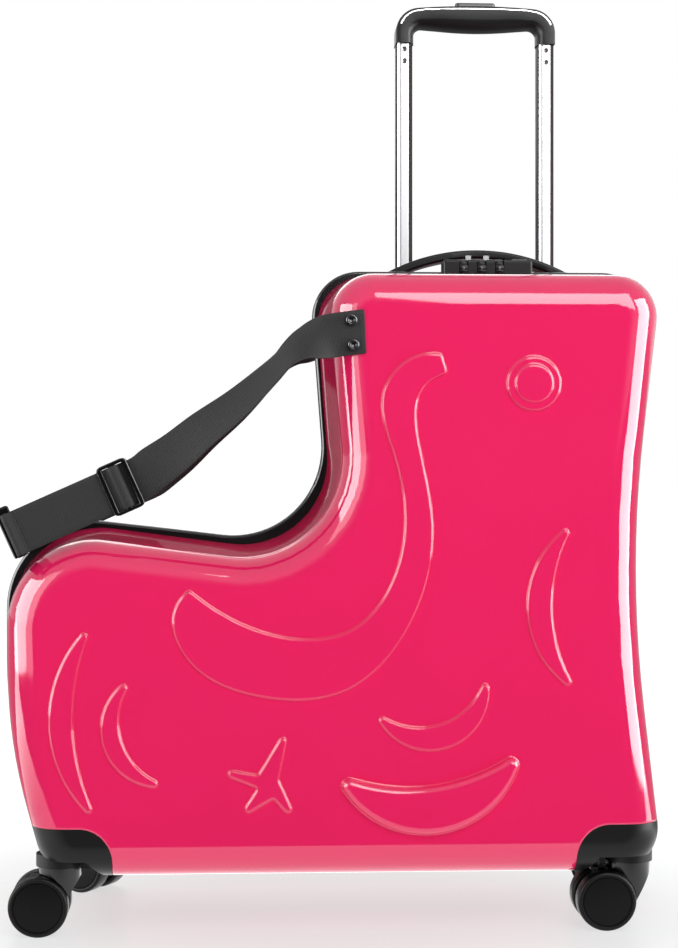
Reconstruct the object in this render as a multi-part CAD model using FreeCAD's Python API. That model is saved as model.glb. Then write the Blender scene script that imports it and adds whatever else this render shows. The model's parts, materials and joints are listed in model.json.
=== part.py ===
import FreeCAD, Part
import math
import os

from FreeCAD import Vector

# Ride on suitcase. X points to the front of the case, Y to the rider's left, Z up, in millimetres.
# The right half, at -Y, swings open. Drawn about the middle of the case; when it is written out,
# the origin moves to the floor under the middle of the whole part, with the belt behind it.

# Common values
overrun = 5.0
fit = 0.1
running_gap = 0.3
pin_gap = 0.05
bend_room_share = 0.995

# Case
case_length = 508.0
case_width = 230.0
case_height = 469.0
case_bottom = 37.5
wall = 2.5
lean_share = 0.08
face_radius = 26.0
head_radius = 40.0
saddle_radius = 68.0
rump_radius = 72.0
rump_bow_radius = 400.0
foot_radius = 40.0
waist_radius = 900.0
case_outline_shares = [
    (-0.0276, 1.0),
    (0.0059, 0.5192),
    (-0.501, 0.5917),
    (-0.5006, 0.2292),
    (-0.44, 0.0),
    (0.5098, 0.0),
    (0.4547, 0.5064),
    (0.5079, 1.0),
]
case_radii = [
    head_radius,
    saddle_radius,
    rump_radius,
    rump_bow_radius,
    foot_radius,
    foot_radius,
    waist_radius,
    head_radius,
]
piping_lift_shares = [0, 1, 0, 0, 0, 0, 0, 0]
half_width = case_width / 2
case_top = case_bottom + case_height

# Seam between the halves: piping, zip coil and tape
seam_half = 7.5
piping_gap = 2.5
piping_out = 3.0
piping_lift = 3.8
piping_radius = 2.4
coil_half = 2.3
coil_out = 0.5
coil_gap = 0.15
tape_reach = 12.0
tape_thickness = 1.2
lining_thickness = 1.0

# Raised ornament on the faces, its places as shares of the case's length and height
relief_height = 2.5
relief_edge_radius = 1.2
relief_foot_radius = 1.0
relief_tip_radius = 2.5
bulge_height = 7.0
bulge_edge_radius = 5.5
bulge_tip_radius = 6.0
ring_radius = 20.2
ring_step_radius = 14.2
ring_step_height = 2.0
ring_place_shares = (0.291, 0.805)
crescent_shares = [
    ((-0.3557, 0.4258), (-0.4205, 0.2569), (-0.3484, 0.107), (-0.3868, 0.2584)),
    ((-0.2945, 0.3401), (-0.3455, 0.258), (-0.2435, 0.1655), (-0.3189, 0.2505)),
    ((0.0549, 0.2838), (0.1299, 0.2192), (0.2199, 0.3403), (0.1427, 0.2578)),
    ((0.3522, 0.583), (0.2807, 0.4467), (0.3559, 0.3107), (0.3175, 0.4382)),
]
bulge_shares = ((-0.006, 0.187), (0.1535, 0.0874), (0.2756, 0.224), (0.1354, 0.162))
star_shares = [
    (-0.2012, 0.1983),
    (-0.1156, 0.1612),
    (-0.1457, 0.1122),
    (-0.0937, 0.145),
    (-0.0547, 0.0985),
    (-0.0864, 0.1736),
    (-0.0695, 0.264),
    (-0.1156, 0.1817),
]
sickle_rear_shares = [
    (0.1535, 0.8511),
    (0.0984, 0.837),
    (0.0695, 0.7946),
    (0.0852, 0.687),
    (0.1, 0.5793),
    (0.0807, 0.487),
    (0.0203, 0.4115),
    (-0.0695, 0.3991),
    (-0.1778, 0.4441),
    (-0.2173, 0.4759),
]
sickle_front_shares = [
    (-0.2173, 0.4759),
    (-0.2406, 0.4269),
    (-0.2181, 0.3651),
    (-0.115, 0.3073),
    (0.013, 0.316),
    (0.1073, 0.4222),
    (0.1407, 0.5721),
    (0.1228, 0.6951),
    (0.1228, 0.7909),
    (0.162, 0.8217),
]

# Casters
swivel_inset = 33.0
rear_swivel_inset = 45.5
front_swivel_inset = 28.0
rear_trail = 15.0
front_trail = 20.0
rear_left_swivel = 150.0
front_left_swivel = 115.0
wheel_radius = 22.5
wheel_width = 15.0
wheel_spacing = 27.0
wheel_edge_radius = 2.5
tyre_depth = 5.0
hub_recess = 0.6
bore_cover = 3.0
axle_radius = 3.0
axle_half = 17.8
kingpin_radius = 4.0
kingpin_bottom = 40.0
kingpin_top = 72.0
rear_notch_length = 86.5
front_notch_length = 73.0
notch_top = 83.3
notch_radius = 25.0
notch_depth = 75.0
rear_arch_radius = 37.0
front_arch_radius = 40.5
arch_top = 58.0
collar_radius = 18.0
collar_bottom = 51.0
swivel_gap = 0.5
fork_radius = 16.0
fork_web = 9.0
fork_slant_top = 44.0
fork_slant_reach = 2.0
fork_heel = 9.0
fork_heel_radius = 8.0
wheel_clearance = 0.8
web_clearance = 0.8
swivel_y = half_width - swivel_inset
rear_swivel_x = rear_swivel_inset - case_length / 2
front_swivel_x = case_length / 2 - front_swivel_inset
rear_notch_x = rear_notch_length - case_length / 2
front_notch_x = case_length / 2 - front_notch_length
notch_inner_y = half_width - notch_depth

# Brake levers on the front casters
lever_pivot_back = 21.2
lever_pivot_z = 50.0
lever_pin_radius = 1.5
lever_ear_radius = 2.6
lever_half_width = 12.0
lever_front = 19.1
lever_back = 32.2
lever_bottom = 51.0
lever_top = 53.0
lever_lug = 2.0
lever_lug_bottom = 48.2
lever_shoe = 2.0
lever_shoe_bottom = 49.0
lever_slant = 18.0
lever_edge_radius = 0.8

# Trolley handle
handle_back = 127.6
handle_inset = 35.0
tube_size_x = 13.6
tube_size_y = 20.0
tube_corner = 4.0
tube_wall = 1.2
tube_gap = 0.3
outer_wall_x = 1.4
outer_wall_y = 3.2
groove_width = 5.6
groove_depth = 2.0
inner_tube_overlap = 33.0
outer_tube_length = 249.0
outer_tube_drop = 3.5
grip_width = 134.6
grip_depth = 26.0
grip_leg = 15.4
grip_cheek = 0.5
grip_crown = 743.0
grip_height = 33.0
grip_shoulder_drop = 5.0
grip_corner_radius = 20.0
grip_crown_radius = 600.0
grip_inner_drop = 19.0
grip_belly_drop = 23.5
grip_inner_radius = 6.5
grip_belly_radius = 300.0
grip_foot_radius = 2.2
grip_edge_radius = 1.5
grip_socket_depth = 10.0
trim_inset = 1.8
trim_width = 2.2
trim_depth = 1.0
trim_proud = 0.2
trim_drop = 16.0
button_length = 34.0
button_depth = 16.0
button_rise = 2.0
button_height = 11.0
button_travel = 2.5
button_corner = 3.0
stem_length = 16.0
stem_depth = 8.0
yoke_gap = 3.5
yoke_height = 4.0
yoke_depth = 8.0
yoke_end = 2.5
rod_radius = 2.5
rod_gap = 3.0
spring_radius = 4.0
spring_wire = 1.0
spring_height = 5.3
screw_drops = [5.0, 15.0]
screw_head_radius = 2.2
screw_head = 1.0
screw_radius = 1.2
screw_length = 2.5
latch_rise = 8.0
latch_radius = 2.4
latch_nose = 1.5
latch_length = 9.5
latch_block_height = 16.0
bezel_margin = 21.0
bezel_depth = 36.0
bezel_rise = 1.5
bezel_corner = 10.0
bezel_edge_radius = 2.0
foot_margin = 15.0
foot_depth = 48.0
foot_height = 12.0
foot_socket = 8.0
tunnel_margin = 2.0
handle_x = case_length / 2 - handle_back
handle_y = half_width - handle_inset
tube_spacing = grip_width - tube_size_x - 2 * grip_cheek
outer_tube_top = case_top - outer_tube_drop
outer_tube_bottom = outer_tube_top - outer_tube_length
inner_tube_bottom = outer_tube_top - inner_tube_overlap
grip_bottom = grip_crown - grip_height
grip_shoulder = grip_crown - grip_shoulder_drop
grip_inner_top = grip_crown - grip_inner_drop
grip_inner_low = grip_crown - grip_belly_drop
trim_bottom = grip_crown - trim_drop
button_top = grip_crown + button_rise
button_bottom = button_top - button_height
yoke_top = button_bottom - yoke_gap
spring_bottom = yoke_top - yoke_height - spring_height
screw_heights = [grip_bottom - drop for drop in screw_drops]
latch_height = inner_tube_bottom + latch_rise
latch_block_top = inner_tube_bottom + latch_block_height
rod_bottom = latch_block_top + rod_gap
bezel_length = tube_spacing + 2 * bezel_margin
bezel_top = case_top + bezel_rise
foot_length = tube_spacing + 2 * foot_margin

# Carry handle
carry_back = 4.9
carry_length = 157.0
carry_near_y = 17.0
carry_depth = 26.0
carry_stand = 23.5
carry_rise = 21.0
carry_thickness = 7.0
carry_edge_radius = 2.0
bracket_length = 18.0
bracket_side = 2.0
bracket_height = 2.0
bracket_slope = 7.0
bracket_lip = 2.0
bracket_edge_radius = 1.0
carry_x = handle_x - carry_back
carry_top = case_top + carry_stand

# Lock
lock_back = 2.1
lock_length = 71.0
lock_rear_y = -8.0
lock_front_y = -29.5
lock_stand = 10.5
lock_edge_radius = 2.0
lock_body_length = 58.0
lock_body_drop = 11.5
lock_body_rear_y = -12.4
lock_body_front_y = -28.8
dial_offset = -5.15
dial_spacing = 14.35
dial_radius = 8.7
dial_width = 6.5
dial_y = -21.3
dial_rise = 2.7
dial_gap = 0.4
dial_notch_count = 10
dial_notch_radius = 1.1
dial_axle_radius = 1.5
dial_axle_over = 4.0
release_offset = 25.8
release_length = 12.0
release_depth = 13.0
release_y = -18.5
release_proud = 1.0
release_height = 7.0
release_travel = 2.5
release_edge_radius = 0.8
lock_x = handle_x - lock_back
lock_top = case_top + lock_stand
lock_body_bottom = case_top - lock_body_drop
dial_z = case_top + dial_rise
release_top = lock_top + release_proud
release_bottom = release_top - release_height

# Zip sliders and pulls
slider_offsets = [-12.8, 1.7]
slider_length = 12.0
slider_half = 2.2
slider_base = 3.2
slider_post = 3.0
slider_post_half = 1.5
slider_post_height = 3.8
pull_pin_radius = 1.1
pull_pin_height = 2.2
pull_arm = 1.4
pull_arm_gap = 0.3
pull_arm_half = 1.4
pull_tongue_end = 11.4
pull_tongue_drop = 3.2
pull_tongue_thickness = 2.2
pull_tab_half = 2.2
pull_tab_thickness = 1.2
pull_tab_rise = 6.0
pull_slot_gap = 0.4
slider_places = [lock_x + offset for offset in slider_offsets]
pull_tongue_top = lock_top - pull_tongue_drop
pull_tongue_bottom = pull_tongue_top - pull_tongue_thickness
pull_tab_top = lock_top + pull_tab_rise

# Safety belt
webbing_width = 33.0
webbing_thickness = 1.4
webbing_gap = 0.2
belt_slope = 24.0
belt_rear_inset = 13.5
belt_rear_share = 0.564
belt_low_run = 103.0
# The twisted run from the end of the low run to the patch: shares of the way along X and up, distance
# out from the straight strap, slope and twist in degrees
belt_twist_shares = [
    (0.0618, 0.065),
    (0.1784, 0.176),
    (0.3202, 0.335),
    (0.5035, 0.523),
    (0.6685, 0.7253),
    (0.7591, 0.8438),
    (0.8385, 0.9266),
    (0.9192, 0.9727),
]
belt_twist_outs = [0.3, 1.0, 2.2, 4.0, 4.2, 3.6, 2.4, 1.0]
belt_twist_angles = [(31, 8), (35, 21), (36, 33), (40, 46), (44, 58), (41, 62), (30, 48), (17, 22)]
belt_patch_x = -4.0
belt_patch_drop = 56.3
belt_patch_slope = 12.0
belt_end_x = 21.0
belt_end_drop = 52.9
belt_end_lean = 2.6
left_belt_rise = 13.0
belt_loop_radius = 3.3
belt_bar_radius = 1.7
belt_corner = 14.0
belt_back_out = 10.5
rivet_xs = [10.6, 12.1]
rivet_drops = [44.6, 63.1]
rivet_radius = 4.5
rivet_head = 3.6
rivet_edge_radius = 1.5
rivet_dish_radius = 2.0
rivet_dish = 1.2
rivet_shank_radius = 2.0
rivet_shank = 12.5
adjuster_length = 22.0
adjuster_rest = 5.0
adjuster_side = 2.6
adjuster_plate = 1.6
adjuster_gap = 0.4
adjuster_bar = 4.0
adjuster_rim = 3.0
adjuster_edge_radius = 0.7
buckle_cheek = 1.2
buckle_half_thickness = 5.4
buckle_plate = 1.6
buckle_ear_end = 2.4
buckle_knob = 5.5
buckle_knob_half = 4.5
buckle_knob_radius = 1.8
socket_start = 5.7
socket_solid = 11.0
socket_reach = 48.0
socket_edge_radius = 1.0
plug_bar_reach = 73.0
plug_collar = 18.0
plug_side_gap = 0.8
plug_half_thickness = 4.8
tongue_insert = 7.0
tongue_half_thickness = 1.5
tongue_half_width = 13.0
belt_rear = (belt_rear_inset - case_length / 2, case_bottom + belt_rear_share * case_height)
belt_patch = (belt_patch_x, case_top - belt_patch_drop)
belt_end = (belt_end_x, case_top - belt_end_drop)
rivet_places = [(x, case_top - drop) for x, drop in zip(rivet_xs, rivet_drops)]
socket_end_y = socket_reach - half_width
plug_bar_y = plug_bar_reach - half_width

fork_top = collar_bottom - swivel_gap
down = Vector(0, 0, -1)
up = Vector(0, 0, 1)
along_x = Vector(1, 0, 0)
along_y = Vector(0, 1, 0)


# Shape helpers


def inset_corners(points, radii, insets):
    """Move each side of a counter-clockwise outline inwards and fit the corner radii to it."""
    lines = []
    for index, start in enumerate(points):
        end = points[(index + 1) % len(points)]
        way = Vector(end[0] - start[0], 0, end[1] - start[1]).normalize()
        inset = insets[index]
        lines.append((Vector(start[0] - way.z * inset, 0, start[1] + way.x * inset), way))
    corners = []
    for index, radius in enumerate(radii):
        here, way = lines[index - 1]
        there, onward = lines[index]
        turn = way.x * onward.z - way.z * onward.x
        reach = ((there.x - here.x) * onward.z - (there.z - here.z) * onward.x) / turn
        inset = (insets[index - 1] + insets[index]) / 2
        corner = here + way * reach
        corners.append((corner.x, corner.z, radius - math.copysign(inset, turn)))
    return corners


def fitted_radii(corners):
    """Corner radii, smaller where two bends would meet on the side between them."""
    places = [Vector(x, 0, z) for x, z, radius in corners]
    reaches = []
    for index, place in enumerate(places):
        following = places[(index + 1) % len(places)]
        half_angle = (places[index - 1] - place).getAngle(following - place) / 2
        reaches.append(corners[index][2] / math.tan(half_angle))
    shares = [1] * len(corners)
    for index, place in enumerate(places):
        room = (place - places[index - 1]).Length * bend_room_share
        both = reaches[index] + reaches[index - 1]
        if both > room:
            shares[index] = min(shares[index], room / both)
            shares[index - 1] = min(shares[index - 1], room / both)
    return [corner[2] * share for corner, share in zip(corners, shares)]


def rounded_wire(corners, y):
    """Closed outline in the XZ plane from corners of x, z and radius."""
    arcs = []
    for index, radius in enumerate(fitted_radii(corners)):
        x, z = corners[index][:2]
        corner = Vector(x, y, z)
        if not radius:
            arcs.append((corner, corner, corner))
            continue
        last = corners[index - 1]
        following = corners[(index + 1) % len(corners)]
        back = (Vector(last[0], y, last[1]) - corner).normalize()
        ahead = (Vector(following[0], y, following[1]) - corner).normalize()
        half_angle = back.getAngle(ahead) / 2
        inward = (back + ahead).normalize()
        reach = radius / math.tan(half_angle)
        middle = corner + inward * (radius / math.sin(half_angle) - radius)
        arcs.append((corner + back * reach, middle, corner + ahead * reach))
    edges = []
    for index, (start, middle, end) in enumerate(arcs):
        if start != end:
            edges.append(Part.Arc(start, middle, end).toShape())
        edges.append(Part.makeLine(end, arcs[(index + 1) % len(arcs)][0]))
    return Part.Wire(edges)


def slab(corners, near, far):
    """Rounded outline extruded along Y from near to far."""
    return Part.Face(rounded_wire(corners, near)).extrude(Vector(0, far - near, 0))


def block(x, y, z):
    """Box from three pairs of limits."""
    return Part.makeBox(x[1] - x[0], y[1] - y[0], z[1] - z[0], Vector(x[0], y[0], z[0]))


def rod(radius, start, way, length):
    """Round bar."""
    return Part.makeCylinder(radius, length, start, way)


def edges_at_y(shape, y):
    """Edges that lie in one plane across Y."""
    return [edge for edge in shape.Edges if all(abs(v.Y - y) < fit / 100 for v in edge.Vertexes)]


def edges_at_z(shape, z):
    """Edges that lie in one plane across Z."""
    return [edge for edge in shape.Edges if all(abs(v.Z - z) < fit / 100 for v in edge.Vertexes)]


def upright_edges(shape):
    """Straight edges along Z."""
    found = []
    for edge in shape.Edges:
        box = edge.BoundBox
        if box.XLength < fit / 100 and box.YLength < fit / 100:
            found.append(edge)
    return found


def rounded_post(x, y, size_x, size_y, corner, bottom, top):
    """Upright bar with a rounded rectangular section."""
    half_x = size_x / 2
    half_y = size_y / 2
    bar = block((x - half_x, x + half_x), (y - half_y, y + half_y), (bottom, top))
    return bar.makeFillet(corner, upright_edges(bar))


def fused(shapes):
    """One solid from several that meet."""
    first = shapes[0].fuse(shapes[1:])
    return first.removeSplitter()


def mirrored(shape):
    """The same piece on the other side of the seam."""
    return shape.mirror(Vector(0, 0, 0), along_y)


# Case


def case_corners(inset, lift):
    """Corners of the case's outline, drawn in by inset and raised by lift where saddle and neck meet."""
    points = []
    for (x_share, z_share), lift_share in zip(case_outline_shares, piping_lift_shares):
        points.append((x_share * case_length, case_bottom + z_share * case_height + lift_share * lift))
    return inset_corners(points, case_radii, [inset] * len(points))


def case_form(inset, near, far, radius):
    """Solid form of the right half between two depths, with its face edge rounded."""
    near_wire = rounded_wire(case_corners(inset + lean_share * near, 0), -near)
    far_wire = rounded_wire(case_corners(inset + lean_share * far, 0), -far)
    form = Part.makeLoft([near_wire, far_wire], True, True)
    return form.makeFillet(radius, edges_at_y(form, -far))


def face_point(shares, depth):
    """Place on the face from shares of the case's length and height."""
    return Vector(shares[0] * case_length, -depth, case_bottom + shares[1] * case_height)


def raised_pad(wire, height, tip_radius, edge_radius):
    """Raised shape on the right face, with soft tips and edges."""
    base = half_width - wall / 2
    pad = Part.Face(wire).extrude(Vector(0, base - half_width - height, 0))
    sides = []
    for edge in pad.Edges:
        if edge.BoundBox.XLength + edge.BoundBox.ZLength < fit / 100:
            sides.append(edge)
    if tip_radius:
        pad = pad.makeFillet(tip_radius, sides)
    return pad.makeFillet(edge_radius, edges_at_y(pad, -half_width - height))


def crescent_wire(shares):
    """Two arcs that share their tips."""
    base = half_width - wall / 2
    first, outer, second, inner = [face_point(share, base) for share in shares]
    return Part.Wire([Part.Arc(first, outer, second).toShape(), Part.Arc(second, inner, first).toShape()])


def relief_pads():
    """The raised ornament of the right face."""
    base = half_width - wall / 2
    pads = []
    for shares in crescent_shares:
        wire = crescent_wire(shares)
        pads.append(raised_pad(wire, relief_height, relief_tip_radius, relief_edge_radius))
    pads.append(raised_pad(crescent_wire(bulge_shares), bulge_height, bulge_tip_radius, bulge_edge_radius))
    star = [face_point(shares, base) for shares in star_shares]
    star_wire = Part.makePolygon(star + star[:1])
    pads.append(raised_pad(star_wire, relief_height, relief_tip_radius, relief_edge_radius))
    edges = []
    for shares in (sickle_rear_shares, sickle_front_shares):
        curve = Part.BSplineCurve()
        curve.interpolate([face_point(share, base) for share in shares])
        edges.append(curve.toShape())
    edges.append(Part.makeLine(edges[1].Vertexes[-1].Point, edges[0].Vertexes[0].Point))
    pads.append(raised_pad(Part.Wire(edges), relief_height, relief_tip_radius, relief_edge_radius))
    centre = face_point(ring_place_shares, base)
    outward = Vector(0, -1, 0)
    boss = rod(ring_radius, centre, outward, half_width + relief_height - base)
    boss = boss.makeFillet(relief_edge_radius, edges_at_y(boss, -half_width - relief_height))
    step = rod(ring_step_radius, centre, outward, half_width + relief_height + ring_step_height - base)
    step_face = -half_width - relief_height - ring_step_height
    step = step.makeFillet(relief_edge_radius, edges_at_y(step, step_face))
    pads.append(boss.fuse(step))
    return pads


def notch(end, grow):
    """Corner of the right half that a caster housing takes up, for one end of the case."""
    bottom = case_bottom - overrun
    inner_y = -(notch_inner_y - grow)
    outer_y = -(half_width + overrun)
    top = notch_top + grow
    radius = notch_radius + grow
    if end == "rear":
        side = rear_notch_x + grow
        far = -case_length
        corners = [(far, bottom, 0), (side, bottom, 0), (side, top, radius), (far, top, 0)]
    else:
        side = front_notch_x - grow
        far = case_length
        corners = [(side, bottom, 0), (far, bottom, 0), (far, top, 0), (side, top, radius)]
    return slab(corners, inner_y, outer_y)


def half_shell():
    """Right shell before its own holes: wall, ornament and caster notches."""
    shell = case_form(0, seam_half, half_width, face_radius)
    hollow_near = seam_half - overrun
    hollow = case_form(wall, hollow_near, half_width - wall, face_radius - wall)
    shell = shell.cut(hollow)
    shell = shell.fuse(relief_pads()).removeSplitter()
    return shell.cut([notch("rear", 0), notch("front", 0)])


def seam_ring(outer, inner, near, far, radius):
    """Band along the seam, between two insets and two depths, with its outer edges rounded."""
    lift = piping_lift if radius else 0
    ring = slab(case_corners(outer, lift), -near, -far)
    if radius:
        ring = ring.makeFillet(radius, edges_at_y(ring, -near) + edges_at_y(ring, -far))
    return ring.cut(slab(case_corners(inner, 0), -near + overrun, -far - overrun))


def half_piping():
    """Round black edging of the right half."""
    return seam_ring(-piping_out, wall, piping_gap, seam_half, piping_radius)


def half_zip_tape():
    """Tape with its zip coil, which also makes the hinge along the bottom edge."""
    tape_outer = wall + lean_share * tape_reach + fit
    tape_inner = tape_outer + tape_thickness
    tape = seam_ring(tape_outer, tape_inner, coil_gap, tape_reach, 0)
    coil = seam_ring(-coil_out, tape_inner, coil_gap, coil_half, 0)
    return fused([tape, coil])


def half_lining(obstacles):
    """Cloth lining that follows the inside of the right shell and goes round what stands in it."""
    near = tape_reach + fit
    skins = []
    for inset, start in ((wall + fit, near), (wall + fit + lining_thickness, near - overrun)):
        grow = inset - wall
        skin = case_form(inset, start, half_width - inset, face_radius - inset)
        skin = skin.cut([notch("rear", grow), notch("front", grow)])
        for x, y, z in obstacles:
            skin = skin.cut(
                block((x[0] - grow, x[1] + grow), (y[0] - grow, y[1] + grow), (z[0] - grow, z[1] + grow))
            )
        skins.append(skin)
    return skins[0].cut(skins[1])


# Casters


def caster_housing(end, x, arch_radius):
    """Corner block of the right half with the swivel collar."""
    housing = case_form(0, notch_inner_y - overrun, half_width, face_radius).common(notch(end, -fit))
    axis = Vector(x, -swivel_y, 0)
    housing = housing.cut(rod(arch_radius, axis, up, arch_top))
    collar = rod(collar_radius, axis + up * collar_bottom, up, arch_top - collar_bottom + wall)
    housing = fused([housing, collar])
    bore_top = kingpin_top + fit
    return housing.cut(rod(kingpin_radius + pin_gap, axis, up, bore_top))


def wheel_room(axle_x):
    """Space that the two wheels of a right caster turn in."""
    reach = wheel_spacing / 2 + wheel_width / 2 + overrun
    near = fork_web / 2
    room = []
    for side in (-1, 1):
        start = Vector(axle_x, -swivel_y + side * near, wheel_radius)
        room.append(rod(wheel_radius + wheel_clearance, start, along_y * side, reach - near))
    return room


def caster_fork(x, axle_x, braked):
    """Swivelling fork of a right caster: turned head, slanted neck and the web between the wheels."""
    axis = Vector(x, -swivel_y, 0)
    low = wheel_radius - fork_heel
    neck = rod(fork_radius, axis + up * low, up, fork_top - low)
    slant = [
        (x - fork_radius - fit, fork_top + overrun, 0),
        (x - fork_radius - fit, low, 0),
        (x - fork_slant_reach, low, 0),
        (x + fork_radius + fit, fork_slant_top, 0),
        (x + fork_radius + fit, fork_top + overrun, 0),
    ]
    depth = fork_radius + overrun
    neck = neck.common(slab(slant, -swivel_y - depth, -swivel_y + depth))
    heel = [
        (axle_x - fork_heel, fork_slant_top, fork_heel_radius / 2),
        (axle_x - fork_heel, low, fork_heel_radius),
        (axle_x + fork_heel, low, fork_heel_radius),
        (x, fork_slant_top, fork_heel_radius / 2),
    ]
    half_web = fork_web / 2
    pieces = [neck.cut(wheel_room(axle_x)), slab(heel, -swivel_y - half_web, -swivel_y + half_web)]
    if braked:
        ear_start = Vector(x - lever_pivot_back, -swivel_y - half_web, lever_pivot_z)
        ear = rod(lever_ear_radius, ear_start, along_y, fork_web)
        stalk = block(
            (x - lever_pivot_back - lever_ear_radius, x - lever_pivot_back + lever_ear_radius),
            (-swivel_y - half_web, -swivel_y + half_web),
            (wheel_radius + fork_heel, lever_pivot_z),
        )
        pieces += [ear, stalk]
    fork = fused(pieces)
    holes = [
        rod(kingpin_radius + pin_gap, axis + up * (kingpin_bottom - fit), up, fork_top),
        rod(axle_radius + pin_gap, axle_start(axle_x), along_y, 2 * axle_half),
    ]
    if braked:
        start = Vector(x - lever_pivot_back, -swivel_y - axle_half, lever_pivot_z)
        holes.append(rod(lever_pin_radius + pin_gap, start, along_y, 2 * axle_half))
    return fork.cut(holes)


def axle_start(axle_x):
    """Outer end of a right caster's wheel axle."""
    return Vector(axle_x, -swivel_y - axle_half, wheel_radius)


def caster_pins(x, axle_x):
    """Kingpin and wheel axle of a right caster."""
    kingpin = rod(kingpin_radius, Vector(x, -swivel_y, kingpin_bottom), up, kingpin_top - kingpin_bottom)
    return Part.makeCompound([kingpin, rod(axle_radius, axle_start(axle_x), along_y, 2 * axle_half)])


def caster_wheel(axle_x, side):
    """One wheel of a right caster, hub and tyre; side is -1 for the outer wheel and 1 for the inner."""
    inner = -swivel_y + side * (wheel_spacing - wheel_width) / 2
    start = Vector(axle_x, inner, wheel_radius)
    way = along_y * side
    rim_radius = wheel_radius - tyre_depth
    tyre = rod(wheel_radius, start, way, wheel_width)
    outer = inner + side * wheel_width
    tyre = tyre.makeFillet(wheel_edge_radius, edges_at_y(tyre, inner) + edges_at_y(tyre, outer))
    tyre = tyre.cut(rod(rim_radius, start, way, wheel_width))
    hub = rod(rim_radius, start + way * hub_recess, way, wheel_width - 2 * hub_recess)
    hub = hub.makeFillet(hub_recess, edges_at_y(hub, outer - side * hub_recess))
    hub = hub.cut(rod(axle_radius + pin_gap, start, way, wheel_width - bore_cover))
    return Part.makeCompound([hub, tyre])


def brake_lever(x):
    """Foot lever over the wheels of a right front caster, with its pivot pin."""
    middle = -swivel_y
    plate = block(
        (x - lever_back, x - lever_front),
        (middle - lever_half_width, middle + lever_half_width),
        (lever_bottom + lever_ear_radius, lever_top + lever_ear_radius),
    )
    plate = plate.makeFillet(lever_edge_radius, edges_at_z(plate, lever_top + lever_ear_radius))
    shoe = block(
        (x - lever_back, x - lever_back + lever_shoe),
        (middle - lever_half_width, middle + lever_half_width),
        (lever_shoe_bottom, lever_bottom + lever_ear_radius + fit),
    )
    pieces = [plate, shoe]
    lug_inner = fork_web / 2 + running_gap
    limits = (x - lever_pivot_back - lever_ear_radius, x - lever_front)
    heights = (lever_lug_bottom, lever_bottom + lever_ear_radius + fit)
    for side in (-1, 1):
        depths = sorted((middle + side * lug_inner, middle + side * (lug_inner + lever_lug)))
        pieces.append(block(limits, depths, heights))
    reach = lug_inner + lever_lug
    start = Vector(x - lever_pivot_back, middle - reach, lever_pivot_z)
    pieces.append(rod(lever_pin_radius, start, along_y, 2 * reach))
    return fused(pieces).rotated(start, along_y, -lever_slant)


# Trolley handle


def tube_places():
    """X of the rear and the front tube."""
    return [handle_x - tube_spacing / 2, handle_x + tube_spacing / 2]


def tube_bar(x, grow, bottom, top):
    """Solid bar of the inner tube's section, grown by a clearance."""
    return rounded_post(
        x, handle_y, tube_size_x + 2 * grow, tube_size_y + 2 * grow, tube_corner + grow, bottom, top
    )


def outer_tube_bar(x, grow, bottom, top):
    """Solid bar of the outer tube's section, grown by a clearance."""
    size_x = tube_size_x + 2 * (tube_gap + outer_wall_x + grow)
    size_y = tube_size_y + 2 * (tube_gap + outer_wall_y + grow)
    return rounded_post(x, handle_y, size_x, size_y, tube_corner, bottom, top)


def groove(x, bottom, top):
    """Groove in the right wall of an outer tube, for the latch pin's nose and the screw heads."""
    face = handle_y - tube_size_y / 2 - tube_gap
    half = groove_width / 2
    return block((x - half, x + half), (face - groove_depth, face + overrun), (bottom, top))


def inner_tubes():
    """Two sliding tubes with holes for the screws and the latch pins."""
    top = grip_bottom + grip_socket_depth
    face = handle_y - tube_size_y / 2
    tubes = []
    for x in tube_places():
        tube = tube_bar(x, 0, inner_tube_bottom, top)
        tube = tube.cut(tube_bar(x, -tube_wall, inner_tube_bottom - overrun, top + overrun))
        for z in screw_heights:
            tube = tube.cut(rod(screw_radius + pin_gap, Vector(x, face - overrun, z), along_y, 2 * overrun))
        start = Vector(x, face - overrun, latch_height)
        tubes.append(tube.cut(rod(latch_radius + running_gap, start, along_y, 2 * overrun)))
    return Part.makeCompound(tubes)


def outer_tubes():
    """Two fixed tubes inside the left half."""
    tubes = []
    for x in tube_places():
        tube = outer_tube_bar(x, 0, outer_tube_bottom, outer_tube_top)
        tube = tube.cut(tube_bar(x, tube_gap, outer_tube_bottom - overrun, outer_tube_top + overrun))
        tubes.append(tube.cut(groove(x, outer_tube_bottom - overrun, outer_tube_top + overrun)))
    return Part.makeCompound(tubes)


def tube_bezel():
    """Collar on top of the left shell that guides both tubes."""
    low = outer_tube_top - 2 * overrun
    bezel = rounded_post(handle_x, handle_y, bezel_length, bezel_depth, bezel_corner, low, bezel_top)
    bezel = bezel.makeFillet(bezel_edge_radius, edges_at_z(bezel, bezel_top))
    bezel = bezel.cut(mirrored(case_form(0, seam_half, half_width, face_radius)))
    for x in tube_places():
        bezel = bezel.cut(tube_bar(x, tube_gap, low, bezel_top + overrun))
        bezel = bezel.cut(groove(x, low, bezel_top + overrun))
        bezel = bezel.cut(outer_tube_bar(x, fit, low - overrun, outer_tube_top + fit))
    return bezel


def tube_foot():
    """Block on the left shell's wall that holds the lower ends of the outer tubes."""
    far = half_width - wall
    bottom = outer_tube_bottom + foot_socket - foot_height
    half = foot_length / 2
    limits = (handle_x - half, handle_x + half)
    foot = block(limits, (far - foot_depth, far), (bottom, bottom + foot_height))
    for x in tube_places():
        foot = foot.cut(outer_tube_bar(x, fit, outer_tube_bottom, bottom + foot_height + overrun))
    return foot


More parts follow.
